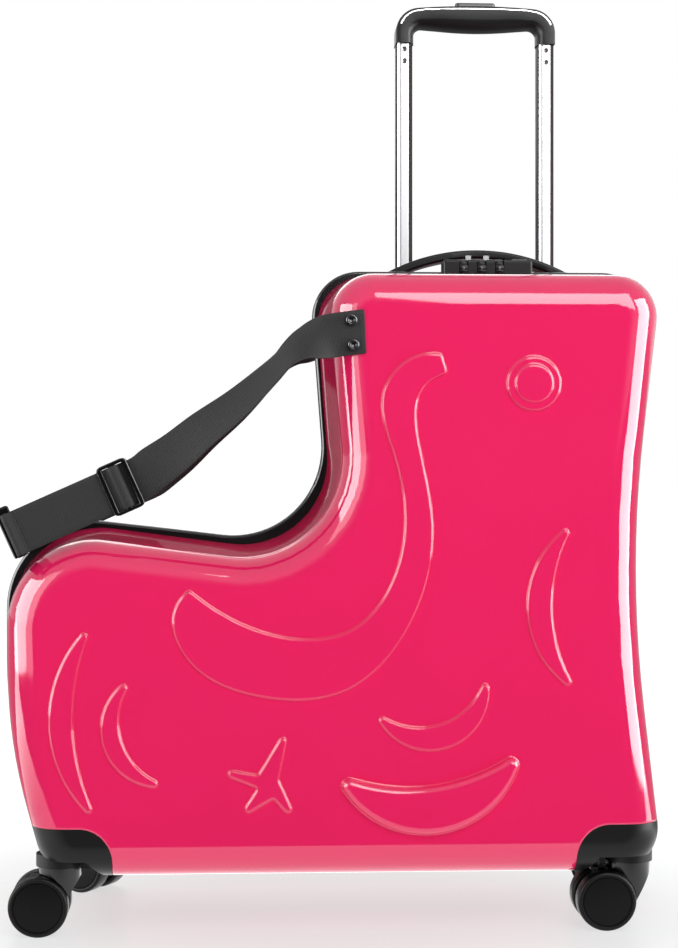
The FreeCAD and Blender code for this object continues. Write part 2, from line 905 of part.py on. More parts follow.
def grip_corners(inset):
    """Corners of the grip's outline, seen from the side."""
    left = handle_x - grip_width / 2
    right = handle_x + grip_width / 2
    inner_left = left + grip_leg
    inner_right = right - grip_leg
    marks = [
        (left, grip_bottom, grip_foot_radius),
        (inner_left, grip_bottom, grip_foot_radius),
        (inner_left, grip_inner_top, grip_inner_radius),
        (handle_x, grip_inner_low, grip_belly_radius),
        (inner_right, grip_inner_top, grip_inner_radius),
        (inner_right, grip_bottom, grip_foot_radius),
        (right, grip_bottom, grip_foot_radius),
        (right, grip_shoulder, grip_corner_radius),
        (handle_x, grip_crown, grip_crown_radius),
        (left, grip_shoulder, grip_corner_radius),
    ]
    points = [(x, z) for x, z, radius in marks]
    radii = [radius for x, z, radius in marks]
    return inset_corners(points, radii, [inset] * len(points))


def grip_outer_corners(inset):
    """Corners of the grip's outer sides alone, for the trim strip along its crown."""
    left = handle_x - grip_width / 2
    right = handle_x + grip_width / 2
    low = grip_bottom - grip_corner_radius
    marks = [
        (left, low, grip_corner_radius / 2),
        (right, low, grip_corner_radius / 2),
        (right, grip_shoulder, grip_corner_radius),
        (handle_x, grip_crown, grip_crown_radius),
        (left, grip_shoulder, grip_corner_radius),
    ]
    points = [(x, z) for x, z, radius in marks]
    radii = [radius for x, z, radius in marks]
    return inset_corners(points, radii, [inset] * len(points))


def grip_trim():
    """Bright strips let into both faces of the grip along its crown."""
    half = grip_depth / 2
    reach = grip_width
    strips = []
    for side in (-1, 1):
        near = handle_y + side * (half - trim_depth)
        far = handle_y + side * (half + trim_proud)
        strip = slab(grip_outer_corners(trim_inset), near, far)
        core = grip_outer_corners(trim_inset + trim_width)
        strip = strip.cut(slab(core, near - side * overrun, far + side * overrun))
        above = block(
            (handle_x - reach, handle_x + reach),
            (handle_y - grip_depth, handle_y + grip_depth),
            (trim_bottom, grip_crown + overrun),
        )
        strips.append(strip.common(above))
    return Part.makeCompound(strips)


def grip_body():
    """Moulded grip with sockets for the tubes and hollows for the release."""
    half = grip_depth / 2
    body = slab(grip_corners(0), handle_y - half, handle_y + half)
    rims = edges_at_y(body, handle_y - half) + edges_at_y(body, handle_y + half)
    body = body.makeFillet(grip_edge_radius, rims)
    yoke_half = tube_spacing / 2 + yoke_end + running_gap
    low = yoke_top - yoke_height - button_travel - running_gap
    half_yoke = yoke_depth / 2 + running_gap
    half_stem = stem_length / 2 + running_gap
    half_stem_depth = stem_depth / 2 + running_gap
    spring_seat = Vector(handle_x, handle_y, spring_bottom)
    cuts = [
        block((handle_x - yoke_half, handle_x + yoke_half), (handle_y - half_yoke, handle_y + half_yoke),
              (low, yoke_top + running_gap)),
        block((handle_x - half_stem, handle_x + half_stem),
              (handle_y - half_stem_depth, handle_y + half_stem_depth), (low, grip_crown + overrun)),
        rounded_post(handle_x, handle_y, button_length + 2 * running_gap, button_depth + 2 * running_gap,
                     button_corner, button_bottom - button_travel - running_gap, grip_crown + overrun),
        rod(spring_radius + running_gap, spring_seat, up, low + overrun - spring_bottom),
    ]
    for x in tube_places():
        cuts.append(tube_bar(x, pin_gap, grip_bottom - overrun, grip_bottom + grip_socket_depth + fit))
        rod_start = Vector(x, handle_y, grip_bottom)
        cuts.append(rod(rod_radius + running_gap, rod_start, up, low + overrun - grip_bottom))
    body = body.cut(cuts)
    return body.cut(grip_trim())


def grip_button():
    """Push button in the crown of the grip, with its stem."""
    head = rounded_post(
        handle_x, handle_y, button_length, button_depth, button_corner, button_bottom, button_top
    )
    head = head.makeFillet(grip_edge_radius, edges_at_z(head, button_top))
    half = stem_length / 2
    half_depth = stem_depth / 2
    stem = block((handle_x - half, handle_x + half), (handle_y - half_depth, handle_y + half_depth),
                 (yoke_top, button_bottom))
    return fused([head, stem])


def release_rods():
    """Yoke under the button with a rod down each tube."""
    half = tube_spacing / 2 + yoke_end
    half_depth = yoke_depth / 2
    yoke = block((handle_x - half, handle_x + half), (handle_y - half_depth, handle_y + half_depth),
                 (yoke_top - yoke_height, yoke_top))
    pieces = [yoke]
    for x in tube_places():
        pieces.append(rod(rod_radius, Vector(x, handle_y, rod_bottom), up, yoke_top - rod_bottom))
    return fused(pieces)


def button_spring():
    """Spring sleeve under the yoke."""
    height = yoke_top - yoke_height - spring_bottom
    base = Vector(handle_x, handle_y, spring_bottom)
    return rod(spring_radius, base, up, height).cut(rod(spring_radius - spring_wire, base, up, height))


def grip_screws():
    """Screws that hold the grip's legs in the tubes."""
    face = handle_y - tube_size_y / 2
    screws = []
    for x in tube_places():
        for z in screw_heights:
            head = rod(screw_head_radius, Vector(x, face - screw_head, z), along_y, screw_head)
            head = head.makeFillet(screw_head / 2, edges_at_y(head, face - screw_head))
            shank = rod(screw_radius, Vector(x, face - screw_head / 2, z), along_y, screw_length)
            screws.append(fused([head, shank]))
    return Part.makeCompound(screws)


def latch_blocks():
    """Guides of the latch pins in the lower ends of the inner tubes."""
    blocks = []
    face = handle_y - tube_size_y / 2
    for x in tube_places():
        guide = tube_bar(x, -tube_wall - pin_gap, inner_tube_bottom, latch_block_top)
        start = Vector(x, face, latch_height)
        depth = latch_length + 2 * latch_nose
        blocks.append(guide.cut(rod(latch_radius + pin_gap, start, along_y, depth)))
    return Part.makeCompound(blocks)


def latch_pins():
    """Pins whose noses run in the grooves of the outer tubes."""
    nose = handle_y - tube_size_y / 2 - latch_nose
    pins = []
    for x in tube_places():
        pin = rod(latch_radius, Vector(x, nose, latch_height), along_y, latch_length)
        pins.append(pin.makeFillet(pin_gap * 10, edges_at_y(pin, nose)))
    return Part.makeCompound(pins)


# Carry handle


def carry_arch(grow):
    """Arched strap of the carry handle, before it is trimmed to the shell."""
    half = carry_length / 2 + grow
    radius = ((carry_length / 2) ** 2 + carry_rise ** 2) / (2 * carry_rise)
    far = carry_near_y + carry_depth + grow
    near = carry_near_y - grow
    centre = Vector(carry_x, near, carry_top - radius)
    arch = rod(radius + grow, centre, along_y, far - near)
    hollow_start = centre - along_y * overrun
    arch = arch.cut(rod(radius - carry_thickness - grow, hollow_start, along_y, far - near + 2 * overrun))
    heights = (carry_top - carry_rise - 2 * overrun, carry_top + overrun)
    return arch.common(block((carry_x - half, carry_x + half), (near, far), heights))


def carry_handle():
    """Arched handle on top of the left shell."""
    handle = carry_arch(0)
    rims = edges_at_y(handle, carry_near_y) + edges_at_y(handle, carry_near_y + carry_depth)
    handle = handle.makeFillet(carry_edge_radius, rims)
    return handle.cut(mirrored(case_form(-fit, seam_half, half_width, face_radius)))


def carry_brackets():
    """Caps that hold the ends of the carry handle on the shell."""
    near = carry_near_y - bracket_side
    far = carry_near_y + carry_depth + bracket_side
    base = case_top - lean_share * far
    top = base + bracket_height + carry_thickness
    caps = []
    for side in (-1, 1):
        end = carry_x + side * (carry_length / 2 + bracket_side)
        inner = end - side * bracket_length
        corners = [
            (end, base - overrun, 0),
            (inner, base - overrun, 0),
            (inner, top, 0),
            (end - side * bracket_slope, top, 0),
            (end, base + bracket_lip, 0),
        ]
        cap = slab(corners, near, far)
        cap = cap.makeFillet(bracket_edge_radius, edges_at_y(cap, near) + edges_at_y(cap, far))
        cap = cap.cut(mirrored(case_form(0, seam_half, half_width, face_radius)))
        caps.append(cap.cut(carry_arch(fit)))
    return caps


# Lock


def dial_places():
    """X of the middle of each dial."""
    return [lock_x + dial_offset + step * dial_spacing for step in (-1, 0, 1)]


def lock_case():
    """Lock housing on the right shell, with windows for the dials and slots for the zip pulls."""
    half = lock_length / 2
    low = lock_body_bottom
    case = block((lock_x - half, lock_x + half), (lock_front_y, lock_rear_y), (low, lock_top))
    case = case.makeFillet(lock_edge_radius, edges_at_z(case, lock_top) + upright_edges(case))
    case = case.cut(case_form(0, seam_half, half_width, face_radius))
    half_body = lock_body_length / 2
    depths = (lock_body_front_y, lock_body_rear_y)
    body = block((lock_x - half_body, lock_x + half_body), depths, (low, lock_top - wall))
    case = fused([case, body])
    room = dial_radius + dial_gap
    half_dial = dial_width / 2 + dial_gap
    for x in dial_places():
        limits = (x - half_dial, x + half_dial)
        case = case.cut(block(limits, (dial_y, dial_y + room), (dial_z - room, lock_top + overrun)))
        case = case.cut(rod(room, Vector(x - half_dial, dial_y, dial_z), along_x, 2 * half_dial))
        case = case.cut(block(limits, (lock_front_y - overrun, dial_y), (dial_z, lock_top + overrun)))
    axle_start, axle_length = dial_axle_span()
    case = case.cut(rod(dial_axle_radius + pin_gap, axle_start, along_x, axle_length))
    release = release_room()
    case = case.cut(release)
    slot_half = slider_post / 2 + pull_arm_gap + pull_arm + pull_slot_gap
    slot_front = -pull_tongue_end - pull_slot_gap
    for x in slider_places:
        case = case.cut(
            block((x - slot_half, x + slot_half), (slot_front, lock_rear_y + overrun),
                  (pull_tongue_bottom - pull_slot_gap, lock_top + overrun))
        )
    return case


def dial_axle_span():
    """Start and length of the axle that carries the dials."""
    places = dial_places()
    over = dial_width / 2 + dial_axle_over
    return Vector(places[0] - over, dial_y, dial_z), places[-1] - places[0] + 2 * over


def dial_axle():
    """Axle of the three dials."""
    start, length = dial_axle_span()
    return rod(dial_axle_radius, start, along_x, length)


def lock_dial(x):
    """Number wheel with finger notches."""
    start = Vector(x - dial_width / 2, dial_y, dial_z)
    dial = rod(dial_radius, start, along_x, dial_width)
    notches = []
    for step in range(dial_notch_count):
        angle = 2 * math.pi * (step + 0.5) / dial_notch_count
        place = start + Vector(0, math.cos(angle), math.sin(angle)) * dial_radius
        notches.append(rod(dial_notch_radius, place, along_x, dial_width))
    dial = dial.cut(notches)
    return dial.cut(rod(dial_axle_radius + pin_gap, start, along_x, dial_width))


def release_room():
    """Pocket of the lock's release button."""
    return block(
        (lock_x + release_offset - release_length / 2 - running_gap,
         lock_x + release_offset + release_length / 2 + running_gap),
        (release_y - release_depth / 2 - running_gap, release_y + release_depth / 2 + running_gap),
        (release_bottom - release_travel - running_gap, lock_top + overrun),
    )


def lock_button():
    """Release button of the lock."""
    x = lock_x + release_offset
    half = release_length / 2
    half_depth = release_depth / 2
    depths = (release_y - half_depth, release_y + half_depth)
    button = block((x - half, x + half), depths, (release_bottom, release_top))
    return button.makeFillet(release_edge_radius, edges_at_z(button, release_top) + upright_edges(button))


# Zip sliders


def slider_bottom():
    """Height at which the sliders run over the zip coil."""
    return case_top + coil_out + running_gap


def pull_axis_height():
    """Height of the pin that a zip pull turns on."""
    return slider_bottom() + slider_base + pull_pin_height


def zip_sliders():
    """Sliders over the coil at the top of the case."""
    sliders = []
    low = slider_bottom()
    half = slider_length / 2
    for x in slider_places:
        base = block((x - half, x + half), (-slider_half, slider_half), (low, low + slider_base))
        post = block((x - slider_post / 2, x + slider_post / 2), (-slider_post_half, slider_post_half),
                     (low, low + slider_base + slider_post_height))
        slider = fused([base, post])
        start = Vector(x - half, 0, pull_axis_height())
        sliders.append(slider.cut(rod(pull_pin_radius + pin_gap, start, along_x, slider_length)))
    return Part.makeCompound(sliders)


def zip_pull(x):
    """Metal pull: two arms on a pin, a tongue in the lock and an upright tab."""
    inner = slider_post / 2 + pull_arm_gap
    outer = inner + pull_arm
    height = pull_axis_height()
    back = -slider_half - running_gap - pull_tab_thickness
    pieces = []
    for side in (-1, 1):
        limits = sorted((x + side * inner, x + side * outer))
        heights = (height - pull_arm_half, height + pull_arm_half)
        pieces.append(block(limits, (back, pull_arm_half), heights))
    pieces.append(rod(pull_pin_radius, Vector(x - outer, 0, height), along_x, 2 * outer))
    pieces.append(block((x - outer, x + outer), (-pull_tongue_end, back + pull_tab_thickness),
                        (pull_tongue_bottom, pull_tongue_top)))
    tab = block((x - pull_tab_half, x + pull_tab_half), (back, back + pull_tab_thickness),
                (pull_tongue_bottom, pull_tab_top))
    pieces.append(tab)
    return fused(pieces)


# Safety belt


def belt_turned(shape):
    """Turn a piece made along X about the buckle's bar to the slope of the belt's low run."""
    return shape.rotated(Vector(belt_rear[0], 0, belt_rear[1]), along_y, -belt_slope)


def band_corners(line, half, bends):
    """Outline of a band of even width round a line of points, with a radius for each bend of the line."""
    ways = []
    for start, end in zip(line, line[1:]):
        ways.append(Vector(end[0] - start[0], 0, end[1] - start[1]).normalize())
    radii = [0] + bends + [0]
    lower = []
    upper = []
    for index, (x, z) in enumerate(line):
        first = ways[max(index - 1, 0)]
        second = ways[min(index, len(ways) - 1)]
        mean = (first + second).normalize()
        reach = half / math.cos(first.getAngle(second) / 2)
        swing = math.copysign(half, first.x * second.z - first.z * second.x) if radii[index] else 0
        lower.append((x + mean.z * reach, z - mean.x * reach, radii[index] + swing))
        upper.append((x - mean.z * reach, z + mean.x * reach, radii[index] - swing))
    return lower + upper[::-1]


def cross_section(x, y, z, slope, twist):
    """Section of the webbing across its run, with its lower edge turned outwards by the twist."""
    slope = math.radians(slope)
    twist = math.radians(twist)
    side = Vector(-math.sin(slope), 0, math.cos(slope))
    wide = side * math.cos(twist) + along_y * math.sin(twist)
    thick = along_y * math.cos(twist) - side * math.sin(twist)
    wide = wide * (webbing_width / 2)
    thick = thick * (webbing_thickness / 2)
    middle = Vector(x, y, z)
    points = [middle + wide + thick, middle + wide - thick, middle - wide - thick, middle - wide + thick]
    return Part.makePolygon(points + points[:1])


def belt_side(rise):
    """One strap as on the right of the case: riveted patch, raised by rise, twisted run and low run."""
    near, far = belt_layer(0)
    depth = -(near + far) / 2
    x, z = belt_rear
    half = webbing_width / 2
    low = belt_turned(block((x, x + belt_low_run), (-far, -near), (z - half, z + half)))
    knee_x, knee_z = belt_knee()
    way_x = belt_patch[0] - knee_x
    way_z = belt_patch[1] - knee_z
    sections = [cross_section(knee_x, depth, knee_z, belt_slope, 0)]
    for index, (x_share, z_share) in enumerate(belt_twist_shares):
        lift = rise * index / len(belt_twist_shares)
        slope, twist = belt_twist_angles[index]
        sections.append(cross_section(knee_x + x_share * way_x, depth - belt_twist_outs[index],
                                      knee_z + z_share * way_z + lift, slope, twist))
    sections.append(cross_section(belt_patch[0], depth, belt_patch[1] + rise, belt_patch_slope, 0))
    run = Part.makeLoft(sections, True, False)
    corners = []
    for (place_x, place_z), lean, ends in (
        (belt_patch, belt_patch_slope, (1, -1)),
        (belt_end, belt_end_lean, (-1, 1)),
    ):
        lean = math.radians(lean)
        for end in ends:
            reach = end * half
            corners.append((place_x - math.sin(lean) * reach, place_z + rise + math.cos(lean) * reach, 0))
    patch = slab(corners, -near, -far)
    return fused([low, run, patch])


def belt_knee():
    """Place where the belt's low run meets its long run."""
    angle = math.radians(belt_slope)
    return belt_rear[0] + belt_low_run * math.cos(angle), belt_rear[1] + belt_low_run * math.sin(angle)


def belt_layer(number):
    """Depths of a layer of webbing, counted from the face outwards."""
    near = half_width + fit + number * (webbing_thickness + webbing_gap)
    return near, near + webbing_thickness


def rivet_holes(radius, rise):
    """Round bars through webbing and shell where the rivets of a strap go, drawn on the right."""
    holes = []
    for x, z in rivet_places:
        start = Vector(x, -half_width - overrun, z + rise)
        holes.append(rod(radius, start, along_y, overrun + rivet_shank))
    return holes


def right_webbing():
    """Right strap: from the rivets down to the adjuster, round the buckle's bar and back."""
    long_strap = belt_side(0).cut(rivet_holes(rivet_shank_radius + pin_gap, 0))
    near_two, far_two = belt_layer(1)
    x, z = belt_rear
    half = webbing_width / 2
    back = belt_low_run - adjuster_rest - adjuster_length / 2
    second = belt_turned(block((x, x + back), (-far_two, -near_two), (z - half, z + half)))
    start = Vector(x, belt_bar_y(), z - half)
    loop = belt_turned(rod(belt_loop_radius, start, up, webbing_width))
    bore = belt_turned(rod(belt_bar_radius + fit, start - up * overrun, up, webbing_width + 2 * overrun))
    return fused([long_strap, second, loop]).cut(bore)


def belt_bar_y():
    """Depth of the bar that the right strap goes round."""
    return -(belt_layer(0)[0] + belt_layer(1)[1]) / 2


def belt_back_angle():
    """Angle in plan at which the buckle leans out to clear the piping behind the case."""
    return math.degrees(math.atan2(belt_back_out, plug_bar_y - belt_bar_y()))


def buckle_turned(shape):
    """Turn a piece made along Y to the belt's slope, then in plan about the right strap's bar."""
    return belt_turned(shape).rotated(Vector(belt_rear[0], belt_bar_y(), 0), up, belt_back_angle())


def plug_bar_along():
    """Depth of the plug's bar along the buckle, before its turn in plan."""
    return belt_bar_y() + math.hypot(plug_bar_y - belt_bar_y(), belt_back_out)


def upright_band(line, half, bends, way, base):
    """Band that stands on an outline in plan and leans along a way."""
    wire = rounded_wire(band_corners(line, half, bends), 0)
    face = Part.Face(wire).rotated(Vector(0, 0, 0), along_x, -90)
    return face.translated(base).extrude(way)


def left_webbing():
    """Left strap: from the rivets round the rear corner and across behind the case to the plug's bar."""
    near, far = belt_layer(0)
    x, z = belt_rear
    half_cloth = webbing_thickness / 2
    middle = (near + far) / 2
    corner = belt_corner + half_cloth
    start = 2 * corner
    bores = rivet_holes(rivet_shank_radius + pin_gap, left_belt_rise)
    strap = mirrored(belt_side(left_belt_rise).cut(bores))
    strap = strap.cut(belt_turned(block((x - overrun, x + start), (near - overrun, far + overrun),
                                        (z - webbing_width, z + webbing_width))))
    bend_line = [(x + start, middle), (x, middle), (x, middle - corner - webbing_thickness)]
    base = up * (z - webbing_width / 2)
    bend = belt_turned(upright_band(bend_line, half_cloth, [corner], up * webbing_width, base))
    angle = math.radians(belt_slope)
    way = Vector(-math.sin(angle), 0, math.cos(angle)) * webbing_width
    foot = up * z - way / 2
    crossing_line = [(x, middle - corner), (x - belt_back_out, plug_bar_y)]
    crossing = upright_band(crossing_line, half_cloth, [], way, foot)
    seat = Vector(x, plug_bar_along(), z)
    loop = rod(belt_loop_radius, seat - up * (webbing_width / 2), up, webbing_width)
    bore = rod(belt_bar_radius + fit, seat - up * webbing_width, up, 2 * webbing_width)
    return fused([strap, bend, crossing, buckle_turned(loop)]).cut(buckle_turned(bore))


def belt_rivets(rise):
    """Dished rivets of a strap, drawn on the right."""
    seat = -belt_layer(0)[1]
    outer = seat - rivet_head
    rivets = []
    for x, z in rivet_places:
        place = Vector(x, outer, z + rise)
        head = rod(rivet_radius, place, along_y, rivet_head)
        head = head.makeFillet(rivet_edge_radius, edges_at_y(head, outer))
        head = head.cut(rod(rivet_dish_radius, place, along_y, rivet_dish))
        shank_start = place + along_y * (rivet_head - fit)
        shank = rod(rivet_shank_radius, shank_start, along_y, rivet_shank - rivet_head)
        rivets.append(fused([head, shank]))
    return Part.makeCompound(rivets)


def belt_adjuster():
    """Frame that slides on the doubled webbing, with its middle bar in front."""
    x = belt_rear[0] + belt_low_run - adjuster_rest - adjuster_length
    z = belt_rear[1]
    half = webbing_width / 2 + adjuster_gap
    outer_half = half + adjuster_side
    inner = -(belt_layer(0)[0] - adjuster_gap)
    outer = -(belt_layer(1)[1] + adjuster_gap)
    frame = block((x, x + adjuster_length), (outer - adjuster_plate, inner + adjuster_plate),
                  (z - outer_half, z + outer_half))
    frame = frame.makeFillet(adjuster_edge_radius, frame.Edges)
    heights = (z - half, z + half)
    frame = frame.cut(block((x - overrun, x + adjuster_length + overrun), (outer, inner), heights))
    window = (adjuster_length - adjuster_bar - 2 * adjuster_rim) / 2
    for start in (x + adjuster_rim, x + adjuster_rim + window + adjuster_bar):
        depths = (outer - 2 * adjuster_plate, outer + fit)
        frame = frame.cut(block((start, start + window), depths, heights))
    limits = (x + adjuster_rim, x + adjuster_length - adjuster_rim)
    back = block(limits, (inner - fit, inner + 2 * adjuster_plate), heights)
    return belt_turned(frame.cut(back))


def buckle_bar(y, half):
    """Bar that a loop of webbing goes round."""
    return rod(belt_bar_radius, Vector(belt_rear[0], y, belt_rear[1] - half), up, 2 * half)


def buckle_socket():
    """Socket of the buckle on the right strap: bar, ears and two plates open at the sides."""
    x, z = belt_rear
    bar_y = belt_bar_y()
    half = webbing_width / 2 + fit
    outer_half = half + buckle_cheek
    body_start = bar_y + socket_start
    thick = buckle_half_thickness
    body = block((x - thick, x + thick), (body_start, socket_end_y), (z - outer_half, z + outer_half))
    body = body.makeFillet(socket_edge_radius, body.Edges)
    gap = thick - buckle_plate
    body = body.cut(block((x - gap, x + gap), (body_start + socket_solid, socket_end_y + overrun),
                          (z - outer_half - overrun, z + outer_half + overrun)))
    depths = (bar_y - buckle_ear_end, body_start + socket_edge_radius * 2)
    ear = block((x - buckle_ear_end, x + buckle_ear_end), depths, (z - outer_half, z - half))
    knob = block((x - buckle_knob_half, x + buckle_knob_half), depths, (z + half, z + half + buckle_knob))
    knob = knob.makeFillet(buckle_knob_radius, edges_at_z(knob, z + half + buckle_knob))
    ends = [belt_turned(shape) for shape in (buckle_bar(bar_y, outer_half), ear, knob)]
    return fused([buckle_turned(body)] + ends)


def buckle_plug():
    """Plug of the buckle on the left strap: bar, ears, collar and tongue."""
    x, z = belt_rear
    half = webbing_width / 2 + plug_side_gap
    outer_half = half + buckle_cheek
    thick = plug_half_thickness
    collar_end = socket_end_y + running_gap
    depths = (collar_end, collar_end + plug_collar)
    body = block((x - thick, x + thick), depths, (z - outer_half, z + outer_half))
    body = body.makeFillet(socket_edge_radius, body.Edges)
    tongue = block((x - tongue_half_thickness, x + tongue_half_thickness),
                   (socket_end_y - tongue_insert, collar_end + socket_edge_radius),
                   (z - tongue_half_width, z + tongue_half_width))
    bar_y = plug_bar_along()
    pieces = [body, tongue, buckle_bar(bar_y, outer_half)]
    depths = (collar_end + plug_collar - 2 * socket_edge_radius, bar_y + buckle_ear_end)
    for side in (-1, 1):
        heights = sorted((z + side * half, z + side * outer_half))
        pieces.append(block((x - buckle_ear_end, x + buckle_ear_end), depths, heights))
    return buckle_turned(fused(pieces))


# Assembly


def tube_holes():
    """Holes in the left shell for the outer tubes."""
    return [outer_tube_bar(x, fit, outer_tube_top - case_height / 4, case_top) for x in tube_places()]


def lock_hole():
    """Hole in the right shell for the lock's body."""
    half = lock_body_length / 2 + fit
    return block((lock_x - half, lock_x + half), (lock_body_front_y - fit, lock_body_rear_y + fit),
                 (lock_body_bottom - overrun, lock_top))


def build():
    """All pieces by name."""
    nodes = {}
    shell = half_shell()
    right_bores = rivet_holes(rivet_shank_radius + pin_gap, 0)
    left_bores = rivet_holes(rivet_shank_radius + pin_gap, left_belt_rise)
    nodes["right_shell"] = shell.cut([lock_hole()] + right_bores)
    nodes["left_shell"] = mirrored(shell.cut(left_bores)).cut(tube_holes())
    piping = half_piping()
    nodes["right_piping"] = piping
    nodes["left_piping"] = mirrored(piping)
    tape = half_zip_tape()
    nodes["right_zip_tape"] = tape
    nodes["left_zip_tape"] = mirrored(tape)
    half_lock = lock_body_length / 2
    lock_space = ((lock_x - half_lock, lock_x + half_lock), (lock_body_front_y, lock_body_rear_y),
                  (lock_body_bottom, lock_top))
    half_foot = foot_length / 2 + tunnel_margin
    far_foot = half_width - wall - foot_depth - tunnel_margin
    low_foot = outer_tube_bottom + foot_socket - foot_height - tunnel_margin
    tunnel = ((handle_x - half_foot, handle_x + half_foot), (-half_width, -far_foot), (low_foot, case_top))
    right_bores = rivet_holes(rivet_shank_radius + running_gap, 0)
    left_bores = rivet_holes(rivet_shank_radius + running_gap, left_belt_rise)
    nodes["right_lining"] = half_lining([lock_space]).cut(right_bores)
    nodes["left_lining"] = mirrored(half_lining([tunnel]).cut(left_bores))
    nodes["zip_sliders"] = zip_sliders()
    nodes["rear_zip_pull"] = zip_pull(slider_places[0])
    nodes["front_zip_pull"] = zip_pull(slider_places[1])
    nodes["lock_case"] = lock_case()
    for number, x in enumerate(dial_places()):
        nodes["lock_dial_%d" % (number + 1)] = lock_dial(x)
    nodes["lock_dial_axle"] = dial_axle()
    nodes["lock_button"] = lock_button()
    nodes["carry_handle"] = carry_handle()
    nodes["carry_handle_brackets"] = Part.makeCompound(carry_brackets())
    nodes["grip_body"] = grip_body()
    nodes["grip_trim"] = grip_trim()
    nodes["grip_button"] = grip_button()
    nodes["button_spring"] = button_spring()
    nodes["release_rods"] = release_rods()
    nodes["inner_tubes"] = inner_tubes()
    nodes["grip_screws"] = grip_screws()
    nodes["latch_blocks"] = latch_blocks()
    nodes["latch_pins"] = latch_pins()
    nodes["outer_tubes"] = outer_tubes()
    nodes["tube_bezel"] = tube_bezel()
    nodes["tube_foot"] = tube_foot()
    nodes["right_webbing"] = right_webbing()
    nodes["left_webbing"] = left_webbing()
    nodes["right_belt_rivets"] = belt_rivets(0)
    nodes["left_belt_rivets"] = mirrored(belt_rivets(left_belt_rise))
    nodes["belt_adjuster"] = belt_adjuster()
    nodes["buckle_socket"] = buckle_socket()
    nodes["buckle_plug"] = buckle_plug()
    for end, x, axle_x, arch_radius, swivel in (
        ("rear", rear_swivel_x, rear_swivel_x - rear_trail, rear_arch_radius, rear_left_swivel),
        ("front", front_swivel_x, front_swivel_x - front_trail, front_arch_radius, front_left_swivel),
    ):
        braked = end == "front"
        housing = caster_housing(end, x, arch_radius)
        nodes["%s_right_caster_housing" % end] = housing
        nodes["%s_left_caster_housing" % end] = mirrored(housing)
        pieces = {
            "caster_fork": caster_fork(x, axle_x, braked),
            "caster_pins": caster_pins(x, axle_x),
            "outer_wheel": caster_wheel(axle_x, -1),
            "inner_wheel": caster_wheel(axle_x, 1),
        }
        if braked:
            pieces["brake_lever"] = brake_lever(x)
        left_axis = Vector(x, swivel_y, 0)
        for name, shape in pieces.items():
            nodes["%s_right_%s" % (end, name)] = shape
            nodes["%s_left_%s" % (end, name)] = mirrored(shape).rotated(left_axis, up, swivel)
    return nodes


def middle_of(nodes):
    """X of the middle of the whole part, between the buckle's back and the front piping."""
    rear = nodes["buckle_plug"].optimalBoundingBox().XMin
    front = nodes["left_piping"].optimalBoundingBox().XMax
    return (rear + front) / 2


os.makedirs("parts", exist_ok=True)
pieces_by_name = build()
middle_x = middle_of(pieces_by_name)
for node, piece in pieces_by_name.items():
    piece.translated(Vector(-middle_x, 0, 0)).exportStep("parts/%s.step" % node)
print("origin moved to x", middle_x, "pieces", len(pieces_by_name))
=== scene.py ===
import json
import logging
import math
from dataclasses import dataclass, field
from enum import Enum
from typing import Iterable, Sequence

import bmesh
import bpy
from bmesh.types import BMEdge, BMesh, BMVert
from bpy.types import Material, Node, NodeSocket, NodeTree, Object
from mathutils import Matrix, Vector, noise


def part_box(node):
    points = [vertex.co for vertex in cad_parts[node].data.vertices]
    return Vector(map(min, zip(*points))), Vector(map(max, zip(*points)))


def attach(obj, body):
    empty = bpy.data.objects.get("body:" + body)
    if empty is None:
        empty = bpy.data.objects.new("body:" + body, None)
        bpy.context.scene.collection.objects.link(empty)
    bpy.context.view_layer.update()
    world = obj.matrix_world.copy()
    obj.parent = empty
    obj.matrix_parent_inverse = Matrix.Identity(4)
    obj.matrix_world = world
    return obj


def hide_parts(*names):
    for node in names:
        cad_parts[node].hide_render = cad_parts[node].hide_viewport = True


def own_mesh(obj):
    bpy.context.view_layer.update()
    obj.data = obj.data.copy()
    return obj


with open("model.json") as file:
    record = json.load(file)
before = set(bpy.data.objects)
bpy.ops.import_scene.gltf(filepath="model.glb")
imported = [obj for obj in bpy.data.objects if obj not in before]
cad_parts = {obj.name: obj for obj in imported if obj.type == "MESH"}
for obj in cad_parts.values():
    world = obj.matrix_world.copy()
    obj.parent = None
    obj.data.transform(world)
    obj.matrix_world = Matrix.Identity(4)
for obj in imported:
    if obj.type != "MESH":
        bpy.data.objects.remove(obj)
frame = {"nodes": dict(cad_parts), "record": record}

# Two or three sizes, a row of corners, and a strap's middle with the way of its width.
Pair = tuple[float, float]
Triple = tuple[float, float, float]
Corners = tuple[Pair, ...]
Station = tuple[Vector, Vector]

LOG = logging.getLogger("ride_on_suitcase")
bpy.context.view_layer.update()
MM = 0.001
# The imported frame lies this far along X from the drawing's own middle.
DRAWING_X = 1.7872
# Corners of a copied mesh nearer than this are one corner.
MERGE = 2e-6
Y_AXIS = Vector((0.0, 1.0, 0.0))


class Side(Enum):
    """Which half of the case a piece belongs to, with the sign of its Y."""

    RIGHT = -1
    LEFT = 1

    @property
    def label(self) -> str:
        """Word for this side in names."""
        return self.name.lower()

    @property
    def body(self) -> str:
        """Body that the half's fixed pieces ride on."""
        return f"{self.label}_half"


class End(Enum):
    """Which end of the case a caster stands at."""

    REAR = "rear"
    FRONT = "front"


# Helpers for places and meshes

def drawn(x: float, y: float, z: float) -> Vector:
    """Turn a place of the drawing in millimetres into one of the frame in metres."""
    return Vector(((x + DRAWING_X) * MM, y * MM, z * MM))


def body_of(node: str) -> str:
    """Name of the body that a CAD node belongs to."""
    bodies = frame["record"]["behaviour"]["bodies"]
    return next(name for name, nodes in bodies.items() if node in nodes)


def joint_of(name: str) -> dict:
    """Record of one joint."""
    return next(joint for joint in frame["record"]["behaviour"]["joints"] if joint["name"] == name)


